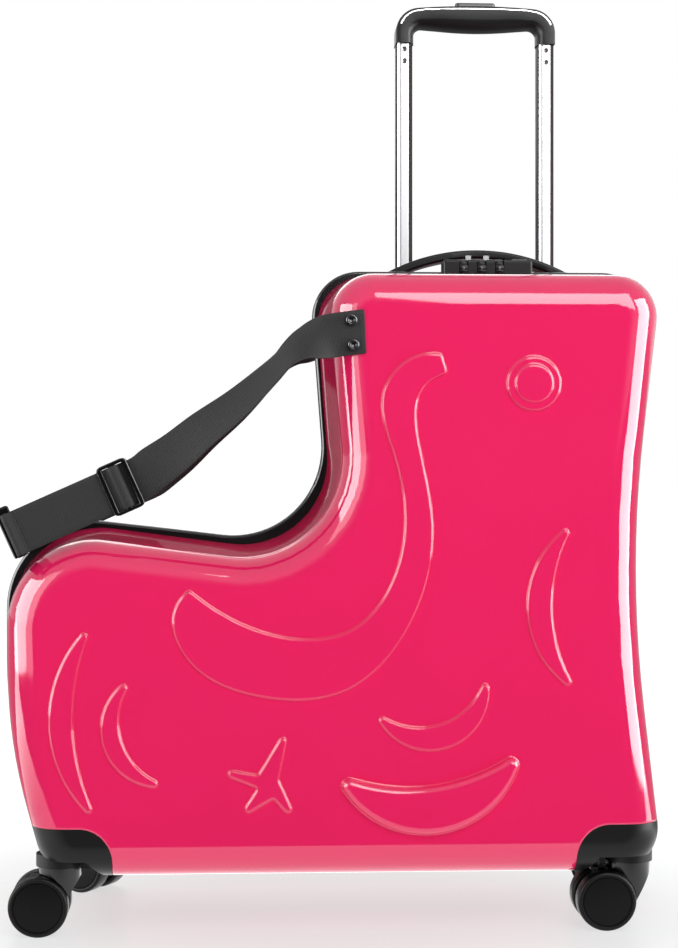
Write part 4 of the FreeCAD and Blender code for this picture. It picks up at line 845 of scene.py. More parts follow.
@dataclass
class TrolleyHandle:
    """Telescopic handle: grip with a round belly, bright trim, release button, tubes and screws."""

    finishes: Finishes
    centre: Pair = (126.4, 80.0)
    half_width: float = 67.3
    half_depth: float = 13.0
    leg: float = 15.4
    bottom: float = 710.0
    shoulder: float = 738.0
    crown: float = 743.0
    corner: float = 20.0
    inner_top: float = 724.0
    inner_low: float = 719.5
    inner_corner: float = 6.5
    crown_bend: float = 600.0
    belly_bend: float = 300.0
    arc_steps: int = 10
    run_steps: int = 5
    edge: float = 1.5
    edge_share: float = 0.3
    flat: float = 3.0
    leg_face: float = 10.0
    face_growth: float = 0.37
    seam: float = 0.6
    seam_drop: float = 0.15
    belly_drop: float = 0.4
    belly_angles: tuple[float, ...] = (15, 30, 45, 60, 75)
    trim_near: float = 2.0
    trim_far: float = 3.5
    trim_bottom: float = 727.0
    trim_sink: float = 0.6
    trim_rise: float = 0.2
    trim_round: Pair = (0.3, 0.15)
    screw_heights: Pair = (705.0, 695.0)
    screw_radius: float = 2.2
    screw_seat: float = 1.0
    screw_recess: float = 1.48
    screw_profile: Corners = (
        (0.0, 0.35), (1.4, 0.35), (1.5, 0.75), (1.7, 0.95), (1.9, 0.75), (2.2, 0.25), (2.2, -0.6),
        (1.1, -0.6), (1.1, -2.4), (0.0, -2.4))
    screw_steps: int = 24
    # Widths of the painted dark reflection on the edges of a tube, on its rear and its front side.
    dark_edges: Pair = (0.9, 3.4)
    tube_widths: dict[str, float] = field(
        default_factory=lambda: {"inner_tubes": 13.6, "outer_tubes": 16.4})

    def build(self) -> None:
        """Build and dress the handle."""
        outer, inner = self.arch()
        self.grip(outer, inner)
        self.trim(outer, inner)
        dress_copy("grip_button", "grip_push_button", self.finishes.gloss)
        for node in self.tube_widths:
            self.tubes(node)
        dress_copy("tube_bezel", "tube_collar_plate", self.finishes.plastic)
        paint_node("tube_foot", self.finishes.plastic)
        for node in ("latch_blocks", "release_rods"):
            paint_node(node, self.finishes.gloss)
        for node in ("button_spring", "latch_pins"):
            paint_node(node, self.finishes.steel)
        self.screws()

    def arch(self) -> tuple[list[Vector], list[Vector]]:
        """Draw the two lines of the grip.

        Returns:
            Outer and inner line, with matching points.
        """
        x = self.centre[0]
        lines = []
        for half, top, corner, middle, bend in (
                (self.half_width, self.shoulder, self.corner, self.crown, self.crown_bend),
                (self.half_width - self.leg, self.inner_top, self.inner_corner, self.inner_low,
                 self.belly_bend)):
            corners = [(x - half, self.bottom, 0), (x - half, top, corner), (x, middle, bend),
                       (x + half, top, corner), (x + half, self.bottom, 0)]
            lines.append(rounded_line(corners, self.arc_steps, self.run_steps))
        return lines[0], lines[1]

    def section(self, start: Vector, end: Vector, corners: Sequence[Pair]) -> list[Vector]:
        """Corners of a section between the outer and the inner line.

        Args:
            start: point on the outer line.
            end: point on the inner line.
            corners: distance from the outer line and depth of each corner.

        Returns:
            Places in the frame.
        """
        way = (end - start).normalized()
        places = []
        for reach, depth in corners:
            spot = start + way * reach
            places.append(drawn(spot.x, self.centre[1] + depth, spot.y))
        return places

    def grip(self, outer: list[Vector], inner: list[Vector]) -> None:
        """Grip: flat grained frame outside, smooth round belly inside.

        Args:
            outer: its outer line.
            inner: its inner line.
        """
        bm = bmesh.new()
        deep = self.half_depth
        edge = self.edge
        loops = []
        for start, end in zip(outer, inner):
            length = (end - start).length
            face = self.leg_face + (length - self.leg) * self.face_growth
            chamfer = edge * self.edge_share
            front = [(0.0, -deep + edge), (chamfer, -deep + chamfer), (edge, -deep),
                     (edge + self.flat, -deep), (face - self.seam, -deep), (face, -deep + self.seam_drop)]
            for angle in self.belly_angles:
                turn = math.radians(angle)
                front.append((face + (length - face) * math.sin(turn),
                              -(deep - self.belly_drop) * math.cos(turn)))
            middle = [(length, 0.0)]
            back = [(reach, -depth) for reach, depth in reversed(front)]
            loops.append(self.section(start, end, front + middle + back))
        loft(bm, loops, True)
        count = len(front)
        belly = set(range(count - 1, count + len(self.belly_angles) + 1))
        bm.verts.ensure_lookup_table()
        ring = len(loops[0])
        for face in bm.faces:
            numbers = {vert.index % ring for vert in face.verts}
            face.material_index = int(len(face.verts) == 4 and numbers <= belly)
        add_piece("grip_moulding", bm, [self.finishes.nylon, self.finishes.rubber], "trolley_handle",
                  ["grip_body"], 30.0)

    def trim(self, outer: list[Vector], inner: list[Vector]) -> None:
        """Bright strip near the top edge of both faces of the grip.

        Args:
            outer: the grip's outer line.
            inner: the grip's inner line.
        """
        bm = bmesh.new()
        for side in (-1, 1):
            loops = []
            for start, end in zip(outer, inner):
                if start.y < self.trim_bottom:
                    continue
                low = side * (self.half_depth - self.trim_sink)
                top = side * (self.half_depth + self.trim_rise)
                near, far = self.trim_near, self.trim_far
                wide, drop = self.trim_round
                corners = [(near, low), (near, top - side * drop), (near + wide, top), (far - wide, top),
                           (far, top - side * drop), (far, low)]
                loops.append(self.section(start, end, corners))
            loft(bm, loops, True)
        add_piece("grip_bright_strip", bm, [self.finishes.chrome], "trolley_handle",
                  ["grip_trim"], 30.0)

    def tubes(self, node: str) -> None:
        """Pair of tubes whose flat faces are polished and whose rounded edges are painted dark, a painted
        reflection.

        Args:
            node: CAD node of the pair.
        """
        bm = cad_copy(node)
        low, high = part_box(node)
        size = self.tube_widths[node]
        strips = []
        for start in (low.x, high.x - size * MM):
            strips.append((start + self.dark_edges[0] * MM, start + (size - self.dark_edges[1]) * MM))
        for x in strips[0] + strips[1]:
            bmesh.ops.bisect_plane(bm, geom=everything(bm), plane_co=(x, 0, 0), plane_no=(1, 0, 0))
        # Faces outside the polished strips get the painted dark reflection.
        for face in bm.faces:
            x = face.calc_center_median().x
            face.material_index = int(not any(first < x < last for first, last in strips))
        piece = add_piece(f"{node[:-1]}_pair", bm, [self.finishes.aluminium, self.finishes.anodised],
                          body_of(node), [node])
        even_shading(piece)

    def screws(self) -> None:
        """Pan head screws at the top of the tubes, with the driver recess painted black as shade."""
        low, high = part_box("grip_screws")
        whole = bmesh.new()
        for x in (low.x + self.screw_radius * MM, high.x - self.screw_radius * MM):
            for z in self.screw_heights:
                bm = turned(self.screw_profile, self.screw_steps)
                # The driver recess gets the black painted shade.
                for face in bm.faces:
                    centre = face.calc_center_median()
                    inside = math.hypot(centre.x, centre.y) < self.screw_recess * MM and centre.z > 0
                    face.material_index = int(inside)
                place = Vector((x, low.y + self.screw_seat * MM, z * MM))
                bmesh.ops.transform(bm, matrix=along_axis(-Y_AXIS, place), verts=bm.verts)
                gather(whole, bm)
        bmesh.ops.recalc_face_normals(whole, faces=whole.faces)
        add_piece("grip_screw_heads", whole, [self.finishes.steel, self.finishes.shade], "trolley_handle",
                  ["grip_screws"], 40.0)


# Carry handle and lock

@dataclass
class CarryHandle:
    """Arched carry handle on top of the case with its end brackets."""

    finishes: Finishes

    def build(self) -> None:
        """Build and dress the handle."""
        dress_copy("carry_handle", "carry_strap_moulding", self.finishes.plastic)
        dress_copy("carry_handle_brackets", "carry_end_caps", self.finishes.gloss)


@dataclass
class DialLock:
    """Combination lock with three number dials, its button, and the zip pulls parked in it."""

    finishes: Finishes
    radius: float = 8.7
    width: float = 6.5
    notch: float = 0.45
    notch_power: int = 6
    rim_round: float = 0.4
    steps: int = 120
    figures: int = 10
    figure_size: float = 4.4
    figure_rise: float = 0.06
    figure_turn: float = 42.0

    def build(self) -> None:
        """Build and dress the lock."""
        dress_copy("lock_case", "lock_housing", self.finishes.plastic)
        paint_node("lock_dial_axle", self.finishes.steel)
        dress_copy("lock_button", "lock_push_button", self.finishes.gloss)
        dress_copy("zip_sliders", "zip_slider_pair", self.finishes.steel)
        for end in ("rear", "front"):
            dress_copy(f"{end}_zip_pull", f"{end}_zip_tab", self.finishes.nickel)
        for number in (1, 2, 3):
            self.dial(number)

    def dial(self, number: int) -> None:
        """One dial with finger notches and ten figures.

        Args:
            number: which dial, from the rear.
        """
        node = f"lock_dial_{number}"
        low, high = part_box(node)
        centre = (low + high) / 2
        bm = bmesh.new()
        bmesh.ops.create_circle(bm, cap_ends=True, segments=self.steps, radius=self.radius * MM)
        for vert in bm.verts:
            turn = math.atan2(vert.co.y, vert.co.x) * self.figures
            dent = max(0.0, math.cos(turn + math.pi)) ** self.notch_power
            vert.co *= 1 - dent * self.notch / self.radius
        start = bm.faces[:]
        bmesh.ops.translate(bm, vec=(0, 0, -self.width / 2 * MM), verts=bm.verts)
        raised = bmesh.ops.extrude_face_region(bm, geom=start)
        top = [item for item in raised["geom"] if isinstance(item, BMVert)]
        bmesh.ops.translate(bm, vec=(0, 0, self.width * MM), verts=top)
        bmesh.ops.recalc_face_normals(bm, faces=bm.faces)
        rims = [edge for edge in bm.edges if len(edge.link_faces) == 2
                and any(len(face.verts) > 4 for face in edge.link_faces)]
        bmesh.ops.bevel(bm, geom=rims, offset=self.rim_round * MM, segments=2, profile=0.5, affect="EDGES",
                        material=-1)
        turn = Matrix.Translation(centre) @ Matrix.Rotation(math.pi / 2, 4, "Y")
        bmesh.ops.transform(bm, matrix=turn, verts=bm.verts)
        bmesh.ops.recalc_face_normals(bm, faces=bm.faces)
        add_piece(f"number_dial_{number}", bm, [self.finishes.plastic], node, [node], 30.0)
        self.numbers(node, number, centre)

    def numbers(self, body: str, number: int, centre: Vector) -> None:
        """Ten figures round a dial.

        Args:
            body: body of the dial.
            number: which dial.
            centre: its middle.
        """
        whole = bmesh.new()
        for figure in range(self.figures):
            curve = bpy.data.curves.new("figure", "FONT")
            curve.body = str(figure)
            curve.size = self.figure_size * MM
            curve.align_x = "CENTER"
            curve.align_y = "CENTER"
            curve.extrude = self.figure_rise * MM
            holder = bpy.data.objects.new("figure", curve)
            mesh = bpy.data.meshes.new_from_object(holder)
            bpy.data.objects.remove(holder)
            bpy.data.curves.remove(curve)
            angle = math.tau * figure / self.figures + math.radians(self.figure_turn)
            lay = (Matrix.Translation(centre) @ Matrix.Rotation(-angle, 4, "X")
                   @ Matrix.Translation(Vector((0, -self.radius * MM, 0)))
                   @ Matrix.Rotation(math.pi / 2, 4, "X"))
            mesh.transform(lay)
            whole.from_mesh(mesh)
            bpy.data.meshes.remove(mesh)
        for face in whole.faces:
            face.material_index = 0
        add_piece(f"dial_figures_{number}", whole, [self.finishes.figure], body)


# Safety belt

@dataclass
class Strap:
    """Flat strap along stations, each with its middle and the way its width points."""

    name: str
    stations: list[Station]
    width: float = 33.0
    thickness: float = 1.4
    across: int = 8
    step: float = 4.0
    edge_round: float = 0.4

    def mesh(self) -> BMesh:
        """Bend a grid along the stations, with its real size as UV map.

        Returns:
            The middle sheet of the strap.
        """
        rows = self.rows()
        bm = bmesh.new()
        uv_layer = bm.loops.layers.uv.new("strap")
        bmesh.ops.create_grid(bm, x_segments=self.across, y_segments=len(rows) - 1, size=1.0)
        lengths = distances([middle for middle, _ in rows])
        flat = {}
        for vert in bm.verts:
            row = round((vert.co.y + 1) / 2 * (len(rows) - 1))
            middle, wide = rows[row]
            reach = vert.co.x * self.width / 2 * MM
            flat[vert] = (reach, lengths[row])
            vert.co = middle + wide * reach
        for face in bm.faces:
            for corner in face.loops:
                corner[uv_layer].uv = flat[corner.vert]
        bmesh.ops.recalc_face_normals(bm, faces=bm.faces)
        return bm

    def rows(self) -> list[Station]:
        """Put even rows between the stations.

        Returns:
            Rows on a smooth curve through the stations.
        """
        marks = distances([middle for middle, _ in self.stations])
        slopes = []
        last = len(marks) - 1
        for index in range(last + 1):
            before, after = max(index - 1, 0), min(index + 1, last)
            span = marks[after] - marks[before]
            slopes.append([(self.stations[after][part] - self.stations[before][part]) / span
                           for part in (0, 1)])
        rows = []
        for index in range(last):
            run = marks[index + 1] - marks[index]
            count = max(2, math.ceil(run / (self.step * MM)))
            for step in range(count + (index == last - 1)):
                t = step / count
                pair = []
                for part in (0, 1):
                    first, second = self.stations[index][part], self.stations[index + 1][part]
                    pair.append(first * (2 * t ** 3 - 3 * t ** 2 + 1) + slopes[index][part] * run
                                * (t ** 3 - 2 * t ** 2 + t) + second * (3 * t ** 2 - 2 * t ** 3)
                                + slopes[index + 1][part] * run * (t ** 3 - t ** 2))
                rows.append((pair[0], pair[1].normalized()))
        return rows

    def build(self, material: Material, body: str, slot: str,
              nodes: Iterable[str] = ()) -> Object:
        """Make the strap with its thickness and soft edges.

        Args:
            material: woven finish.
            body: body that it rides on.
            slot: the record's material slot; not used.
            nodes: CAD nodes that it stands for.

        Returns:
            The new object.
        """
        piece = add_piece(self.name, self.mesh(), [material], body, nodes, 60.0)
        thicken(piece, self.thickness)
        round_edges(piece, self.edge_round, 2)
        return piece


@dataclass
class SafetyBelt:
    """Rider's belt: a strap from each side of the neck, adjuster, rivets and buckle."""

    finishes: Finishes
    rear: Pair = (-240.5, 302.0)
    slope: float = 24.0
    low_run: float = 103.0
    layer_inner: float = 115.8
    layer_outer: float = 117.4
    bar_depth: float = 116.6
    loop: float = 2.55
    loop_end: float = 7.0
    loop_near: float = 4.5
    loop_slack: float = 0.2
    right_marks: tuple[float, ...] = (9.0, 30.0, 60.0, 90.0)
    return_marks: tuple[float, ...] = (25.0, 45.0, 65.0)
    left_marks: tuple[float, ...] = (80.0, 55.0, 35.0)
    # Way from the plug's bar and way aside where the left strap rises onto it.
    plug_rise: Corners = ((9.0, 0.8), (4.5, 1.4))
    corner: float = 14.7
    back_out: float = 10.5
    plug_bar: float = -42.0
    left_rise: float = 13.0
    adjuster_middle: float = 87.0
    adjuster_travel: float = 40.0
    rivets: Corners = ((10.6, 461.9), (12.1, 443.4))
    rivet_seat: float = 0.7
    rivet_steps: int = 40
    rivet_profile: Corners = (
        (0.0, 1.9), (1.5, 1.9), (1.9, 2.2), (2.1, 2.9), (2.6, 3.35), (3.2, 3.45), (3.9, 3.2), (4.35, 2.6),
        (4.5, 1.8), (4.5, 0.0), (2.0, 0.0), (2.0, -8.0), (0.0, -8.0))
    # Stations up to the neck: x, height, way out from the inner layer, slope and twist.
    twist_run: tuple[tuple[float, float, float, float, float], ...] = (
        (-137.6, 350.8, 0.3, 31.0, 8.0),
        (-121.0, 362.6, 1.0, 35.0, 21.0),
        (-100.8, 379.5, 2.2, 36.0, 33.0),
        (-74.7, 399.5, 4.0, 40.0, 46.0),
        (-51.2, 421.0, 4.2, 44.0, 58.0),
        (-38.3, 433.6, 3.6, 41.0, 62.0),
        (-27.0, 442.4, 2.4, 30.0, 48.0),
        (-15.5, 447.3, 1.0, 17.0, 22.0),
        (-4.0, 450.2, 0.0, 12.0, 0.0),
        (21.0, 453.6, 0.0, 2.6, 0.0),
    )
    frame_steps: tuple[float, ...] = (-12.2, -8.2, -2.2, 2.2, 8.2, 12.2)
    frame_heights: tuple[float, ...] = (-19.6, -16.8, 16.8, 19.6)
    frame_depth: float = 4.6
    frame_back: float = 115.4
    frame_corner: Pair = (0.9, 0.96)
    frame_round: float = 0.9
    # Sewn end round the adjuster's bar: way along the strap and depth.
    sewn_end: Corners = (
        (-6.5, 117.7), (-4.4, 118.4), (-3.4, 119.8), (-2.2, 120.9), (0.0, 121.3), (2.2, 120.9),
        (3.4, 119.8), (4.2, 118.4))

    def build(self) -> None:
        """Build and dress the belt."""
        self.right_strap()
        self.left_strap()
        self.adjuster()
        for side in Side:
            self.rivet_heads(side)
        dress_copy("buckle_socket", "buckle_socket_moulding", self.finishes.gloss)
        dress_copy("buckle_plug", "buckle_plug_moulding", self.finishes.gloss)

    def station(self, x: float, z: float, depth: float, slope: float, twist: float,
                side: Side) -> Station:
        """One station of a strap beside the case.

        Args:
            x: place along the drawing.
            z: height.
            depth: distance from the seam.
            slope: rise of the run in degrees.
            twist: turn of the lower edge outwards in degrees.
            side: side of the case.

        Returns:
            Middle and way of the width.
        """
        rise = math.radians(slope)
        turn = math.radians(twist)
        across = Vector((-math.sin(rise), 0.0, math.cos(rise)))
        wide = across * math.cos(turn) - Y_AXIS * (side.value * math.sin(turn))
        return drawn(x, side.value * depth, z), wide

    def low_spot(self, along: float) -> Pair:
        """Place and height of a point of the low run, counted from the buckle's bar."""
        rise = math.radians(self.slope)
        return self.rear[0] + along * math.cos(rise), self.rear[1] + along * math.sin(rise)

    def low_station(self, along: float, depth: float, side: Side) -> Station:
        """Station on the low run, counted from the buckle's bar."""
        x, z = self.low_spot(along)
        return self.station(x, z, depth, self.slope, 0.0, side)

    def neck_run(self, side: Side, rise: float) -> list[Station]:
        """Stations of the twisted run and the riveted end.

        Args:
            side: side of the case.
            rise: how much higher the riveted end lies than on the right.

        Returns:
            Stations from the low run up to the neck.
        """
        stations = []
        riveted = len(self.twist_run) - 2
        for index, (x, z, out, slope, twist) in enumerate(self.twist_run):
            lift = rise * min(1.0, index / riveted)
            stations.append(self.station(x, z + lift, self.layer_inner + out, slope, twist, side))
        return stations

    def right_strap(self) -> None:
        """Right strap: round the buckle's bar and up to the rivets, and the layer back to the adjuster."""
        side = Side.RIGHT
        stations = [self.low_station(self.loop_end, self.layer_outer, side),
                    self.low_station(self.loop_near, self.layer_outer + self.loop_slack, side)]
        for angle in range(70, 300, 20):
            turn = math.radians(angle)
            stations.append(self.low_station(self.loop * math.cos(turn),
                                             self.bar_depth + self.loop * math.sin(turn), side))
        stations.append(self.low_station(self.loop_near, self.layer_inner - self.loop_slack, side))
        for along in (*self.right_marks, self.low_run):
            stations.append(self.low_station(along, self.layer_inner, side))
        stations += self.neck_run(side, 0.0)
        Strap("right_belt_strap", stations).build(self.finishes.webbing, "right_half", "black_webbing",
                                                  ["right_webbing"])
        runs = [self.low_station(along, self.layer_outer, side)
                for along in (self.loop_end, *self.return_marks, self.adjuster_middle)]
        back = Strap("right_belt_return", runs).build(self.finishes.webbing, "right_half", "black_webbing")
        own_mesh(back)

    def left_strap(self) -> None:
        """Left strap: round the rear corner and behind the case to the plug, and its sewn end."""
        side = Side.LEFT
        across = self.low_station(0.0, 0.0, side)[1]
        stations = self.neck_run(side, self.left_rise)[::-1]
        for along in (self.low_run, *self.left_marks, 2 * self.corner):
            stations.append(self.low_station(along, self.layer_inner, side))
        for angle in range(0, 91, 15):
            turn = math.radians(angle)
            stations.append(self.low_station(self.corner * (1 - math.sin(turn)),
                                             self.layer_inner - self.corner * (1 - math.cos(turn)), side))
        start = Vector((self.rear[0], self.layer_inner - self.corner))
        bar = Vector((self.rear[0] - self.back_out, self.plug_bar))
        way = (bar - start).normalized()
        aside = Vector((-way.y, way.x))
        length = (bar - start).length
        plan = [(share * length, 0.0) for share in (0.25, 0.5, 0.75)]
        plan += [(length - back, off) for back, off in self.plug_rise]
        for angle in range(60, -241, -30):
            turn = math.radians(angle)
            plan.append((length + self.loop * math.cos(turn), self.loop * math.sin(turn)))
        for ahead, off in plan:
            spot = start + way * ahead + aside * off
            stations.append((drawn(spot.x, spot.y, self.rear[1]), across))
        Strap("left_belt_strap", stations).build(self.finishes.webbing, "left_half", "black_webbing",
                                                 ["left_webbing"])

    def belt_matrix(self, along: float, depth: float) -> Matrix:
        """Matrix of the right side's low run: X along it, Y towards the seam, Z across the strap.

        Args:
            along: way from the buckle's bar.
            depth: distance from the seam.

        Returns:
            Matrix from a flat piece's own place to the frame.
        """
        x, z = self.low_spot(along)
        turn = Matrix.Rotation(-math.radians(self.slope), 4, "Y")
        return Matrix.Translation(drawn(x, -depth, z)) @ turn

    def adjuster(self) -> None:
        """Slide adjuster: a rounded frame with a middle bar, and the strap's end sewn round the bar."""
        bm = bmesh.new()
        columns, heights = self.frame_steps, self.frame_heights
        bmesh.ops.create_grid(bm, x_segments=len(columns) - 1, y_segments=len(heights) - 1, size=1.0)
        windows = []
        for face in bm.faces:
            centre = face.calc_center_median()
            column = int((centre.x + 1) / 2 * (len(columns) - 1))
            row = int((centre.y + 1) / 2 * (len(heights) - 1))
            if row == 1 and column in (1, 3):
                windows.append(face)
        for vert in bm.verts:
            column = round((vert.co.x + 1) / 2 * (len(columns) - 1))
            row = round((vert.co.y + 1) / 2 * (len(heights) - 1))
            vert.co = Vector((columns[column] * MM, 0.0, heights[row] * MM))
        bmesh.ops.delete(bm, geom=windows, context="FACES")
        outer = [vert for vert in bm.verts if abs(abs(vert.co.x) - columns[-1] * MM) < MERGE
                 and abs(abs(vert.co.z) - heights[-1] * MM) < MERGE]
        for vert in outer:
            vert.co.x *= self.frame_corner[0]
            vert.co.z *= self.frame_corner[1]
        raised = bmesh.ops.extrude_face_region(bm, geom=bm.faces[:], use_keep_orig=True)
        front = [item for item in raised["geom"] if isinstance(item, BMVert)]
        bmesh.ops.translate(bm, vec=(0, -self.frame_depth * MM, 0), verts=front)
        bmesh.ops.recalc_face_normals(bm, faces=bm.faces)
        place = self.belt_matrix(self.adjuster_middle, self.frame_back)
        bmesh.ops.transform(bm, matrix=place, verts=bm.verts)
        bmesh.ops.recalc_face_normals(bm, faces=bm.faces)
        piece = add_piece("belt_slide_frame", bm, [self.finishes.gloss], "belt_adjuster",
                          ["belt_adjuster"], 40.0)
        round_edges(piece, self.frame_round, 3)
        stations = [self.low_station(self.adjuster_middle + along, depth, Side.RIGHT)
                    for along, depth in self.sewn_end]
        end = Strap("belt_sewn_end", stations, thickness=1.2, step=1.0)
        end.build(self.finishes.webbing, "belt_adjuster", "black_webbing")

    def rivet_heads(self, side: Side) -> None:
        """Dished rivets of one strap.

        Args:
            side: side of the case.
        """
        node = f"{side.label}_belt_rivets"
        rise = self.left_rise if side is Side.LEFT else 0.0
        whole = bmesh.new()
        for x, z in self.rivets:
            bm = turned(self.rivet_profile, self.rivet_steps)
            seat = drawn(x, side.value * (self.layer_inner + self.rivet_seat), z + rise)
            bmesh.ops.transform(bm, matrix=along_axis(Y_AXIS * side.value, seat), verts=bm.verts)
            gather(whole, bm)
        bmesh.ops.recalc_face_normals(whole, faces=whole.faces)
        add_piece(f"{side.label}_rivet_heads", whole, [self.finishes.rivet], side.body, [node],
                  40.0)


# Studio

class Shine(Enum):
    """What a lamp does: light the scene evenly, or show as a bright box in glossy surfaces."""

    FILL = "fill"
    CARD = "card"


@dataclass(frozen=True)
class Lamp:
    """Soft box of the studio."""

    name: str
    place: Triple
    target: Triple
    width: float
    height: float
    radiance: float
    shine: Shine

    def hang(self) -> None:
        """Put the lamp in the scene, facing its target."""
        light = bpy.data.lights.new(self.name, "AREA")
        light.shape = "RECTANGLE"
        light.size = self.width
        light.size_y = self.height
        light.energy = self.radiance * math.pi * self.width * self.height
        holder = bpy.data.objects.new(self.name, light)
        bpy.context.scene.collection.objects.link(holder)
        way = Vector(self.target) - Vector(self.place)
        holder.location = self.place
        holder.rotation_euler = way.to_track_quat("-Z", "Y").to_euler()
        holder.visible_diffuse = self.shine is Shine.FILL
        holder.visible_glossy = self.shine is Shine.CARD


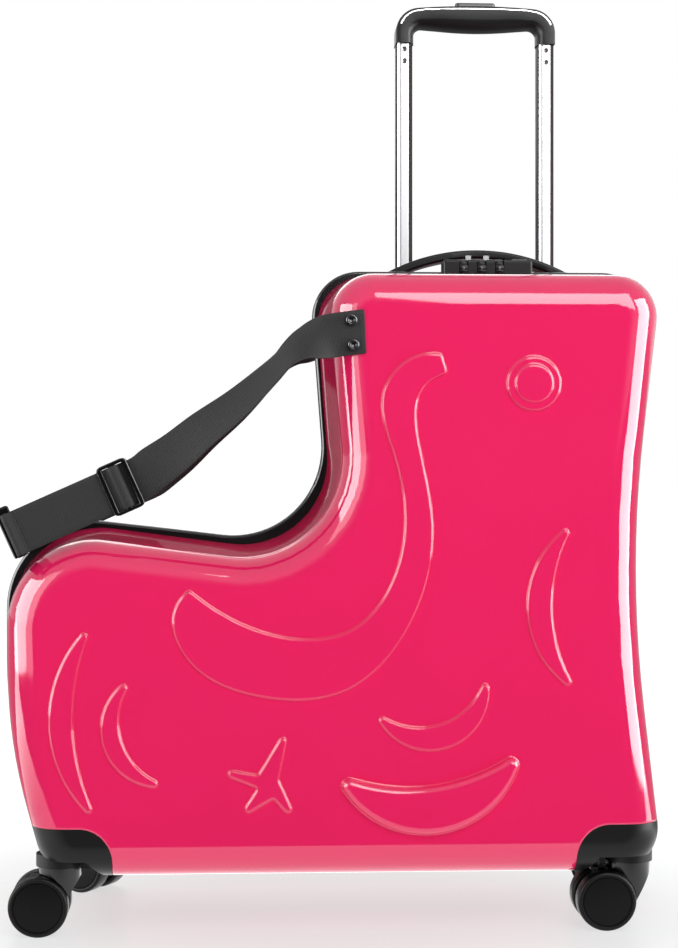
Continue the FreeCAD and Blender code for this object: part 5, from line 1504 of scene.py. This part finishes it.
@dataclass
class Studio:
    """Pale floor, soft boxes and the camera."""

    camera_place: Triple = (-0.0740, -1.5868, 0.347)
    camera_turn: Triple = (90.0, 0.0, -3.0)
    lens: float = 74.96
    sensor: float = 36.0
    lamps: tuple[Lamp, ...] = (
        Lamp("key_box", (0.5, -1.7, 1.6), (0.0, -0.1, 0.35), 1.40, 1.20, 4.0, Shine.FILL),
        Lamp("front_card", (0.70, -1.55, 1.36), (0.1, -0.1, 0.48), 1.10, 1.15, 10.0, Shine.CARD),
        Lamp("right_card", (1.74, -0.66, 0.70), (0.2, -0.1, 0.45), 1.35, 1.60, 16.0, Shine.CARD),
        Lamp("left_card", (-1.78, -0.55, 0.65), (-0.2, -0.1, 0.35), 1.60, 1.30, 12.0, Shine.CARD),
        Lamp("left_veil", (-1.24, -1.40, 0.65), (-0.2, -0.1, 0.35), 0.70, 1.30, 3.5, Shine.CARD),
        Lamp("rear_box", (-0.5, 1.9, 1.6), (0.0, 0.1, 0.35), 1.40, 1.20, 4.0, Shine.FILL),
        Lamp("rear_card", (0.0, 1.85, 1.30), (0.0, 0.1, 0.45), 1.60, 0.90, 2.2, Shine.CARD),
    )
    floor_size: float = 30.0
    floor_colour: str = "#7C8482"
    floor_gloss: Pair = (0.22, 0.30)
    floor_mirror: float = 0.12
    # The floor glows more away from the object, so that it is painted darker round the object as shade: the
    # two distances and the two levels.
    floor_fade: Pair = (0.10, 0.60)
    floor_glow: Pair = (0.62, 0.95)
    # Strip of floor that glossy surfaces see bright, a painted reflection: its middle, its reach, and its
    # levels from the object out to the sides; then the levels in front of it and behind it.
    bright_floor: Pair = (-0.12, 0.24)
    bright_sides: Pair = (0.45, 1.0)
    bright_levels: Pair = (2.0, 8.0)
    dark_levels: Pair = (0.08, 0.5)
    # Openings of the tent, as shares of the way along Y, and its levels beside and in them.
    tent_opening: Pair = (0.80, 0.985)
    tent_levels: Pair = (1.3, 0.12)
    tent_fill: float = 0.36

    def build(self) -> None:
        """Set up floor, light and camera."""
        self.floor()
        self.sky()
        for lamp in self.lamps:
            lamp.hang()
        lens = bpy.data.cameras.new("camera")
        lens.sensor_fit = "VERTICAL"
        lens.sensor_height = self.sensor
        lens.lens = self.lens
        camera = bpy.data.objects.new("camera", lens)
        camera.location = self.camera_place
        camera.rotation_euler = [math.radians(angle) for angle in self.camera_turn]
        bpy.context.scene.collection.objects.link(camera)
        bpy.context.scene.camera = camera

    def floor(self) -> None:
        """Pale floor, wide enough to fade into the background."""
        bm = bmesh.new()
        bmesh.ops.create_grid(bm, x_segments=4, y_segments=4, size=self.floor_size)
        mesh = bpy.data.meshes.new("floor")
        bm.to_mesh(mesh)
        bm.free()
        material, tree, shader = new_material("pale_floor")
        place = add_node(tree, "ShaderNodeTexCoord").outputs["Object"]
        cloud = add_node(tree, "ShaderNodeTexNoise", {"Vector": place, "Scale": 3.0, "Detail": 2.0})
        gloss = add_node(tree, "ShaderNodeMapRange", {
            "Value": cloud.outputs["Fac"], "To Min": self.floor_gloss[0], "To Max": self.floor_gloss[1]})
        tree.links.new(gloss.outputs["Result"], shader.inputs["Roughness"])
        # Painted shade: the floor's glow is dimmer near the object.
        away = add_node(tree, "ShaderNodeVectorMath", {0: place}, operation="LENGTH")
        fade = add_node(tree, "ShaderNodeMapRange", {
            "Value": away.outputs["Value"], "From Min": self.floor_fade[0], "From Max": self.floor_fade[1],
            "To Min": self.floor_glow[0], "To Max": self.floor_glow[1]}, interpolation_type="SMOOTHSTEP")
        tree.links.new(fade.outputs["Result"], shader.inputs["Emission Strength"])
        shader.inputs["Base Color"].default_value = linear(self.floor_colour)
        shader.inputs["Specular IOR Level"].default_value = self.floor_mirror
        shader.inputs["Emission Color"].default_value = linear("#FFFFFF")
        self.floor_in_mirrors(tree, shader, place)
        mesh.materials.append(material)
        floor = bpy.data.objects.new("floor", mesh)
        bpy.context.scene.collection.objects.link(floor)

    def floor_in_mirrors(self, tree: NodeTree, shader: Node,
                         place: NodeSocket) -> None:
        """Make the floor glow for glossy rays only, a painted reflection: glossy surfaces see a bright
        strip of floor by the object and a dark floor beyond it.

        Args:
            tree: node tree of the floor.
            shader: its shader.
            place: its coordinates.
        """
        parts = add_node(tree, "ShaderNodeSeparateXYZ", {0: place})
        middle, reach = self.bright_floor
        near = add_node(tree, "ShaderNodeMath", {0: parts.outputs["Y"], 1: middle, 2: reach},
                        operation="COMPARE")
        aside = add_node(tree, "ShaderNodeMath", {0: parts.outputs["X"]}, operation="ABSOLUTE")
        bright = add_node(tree, "ShaderNodeMapRange", {
            "Value": aside.outputs["Value"], "From Min": self.bright_sides[0],
            "From Max": self.bright_sides[1], "To Min": self.bright_levels[0],
            "To Max": self.bright_levels[1]})
        beyond = add_node(tree, "ShaderNodeMapRange", {
            "Value": parts.outputs["Y"], "From Min": middle - reach, "From Max": middle + reach,
            "To Min": self.dark_levels[0], "To Max": self.dark_levels[1]})
        level = add_node(tree, "ShaderNodeMapRange", {
            "Value": near.outputs["Value"], "To Min": beyond.outputs["Result"],
            "To Max": bright.outputs["Result"]})
        # Painted reflection: this glow shows only in glossy surfaces.
        glow = add_node(tree, "ShaderNodeEmission", {"Strength": level.outputs["Result"]})
        path = add_node(tree, "ShaderNodeLightPath")
        both = add_node(tree, "ShaderNodeMixShader", {
            0: path.outputs["Is Glossy Ray"], 1: shader.outputs["BSDF"], 2: glow.outputs["Emission"]})
        tree.links.new(both.outputs["Shader"], tree.nodes["Material Output"].inputs["Surface"])

    def sky(self) -> None:
        """White tent round the object, with dark openings in front and behind."""
        world = bpy.data.worlds.new("studio")
        world.use_nodes = True
        bpy.context.scene.world = world
        tree = world.node_tree
        path = add_node(tree, "ShaderNodeLightPath")
        way = add_node(tree, "ShaderNodeTexCoord").outputs["Generated"]
        parts = add_node(tree, "ShaderNodeSeparateXYZ", {0: way})
        along = add_node(tree, "ShaderNodeMath", {0: parts.outputs["Y"]}, operation="ABSOLUTE")
        tent = add_node(tree, "ShaderNodeMapRange", {
            "Value": along.outputs["Value"], "From Min": self.tent_opening[0],
            "From Max": self.tent_opening[1], "To Min": self.tent_levels[0], "To Max": self.tent_levels[1]},
            interpolation_type="SMOOTHSTEP")
        mirror = add_node(tree, "ShaderNodeMix", {
            0: path.outputs["Is Glossy Ray"], 2: self.tent_fill, 3: tent.outputs["Result"]},
            data_type="FLOAT")
        seen = add_node(tree, "ShaderNodeMix", {
            0: path.outputs["Is Camera Ray"], 2: mirror.outputs[0], 3: 1.0}, data_type="FLOAT")
        background = tree.nodes["Background"]
        background.inputs["Color"].default_value = linear("#FFFFFF")
        tree.links.new(seen.outputs[0], background.inputs["Strength"])
        bpy.context.scene.view_settings.view_transform = "Standard"


def main() -> None:
    """Build every sub-assembly and the studio."""
    logging.basicConfig(level=logging.INFO, format="%(message)s")
    finishes = Finishes()
    for side in Side:
        CaseHalf(side, finishes).build()
    for end in End:
        for side in Side:
            Caster(end, side, finishes).build()
    TrolleyHandle(finishes).build()
    CarryHandle(finishes).build()
    DialLock(finishes).build()
    SafetyBelt(finishes).build()
    Studio().build()


if __name__ == "__main__":
    main()
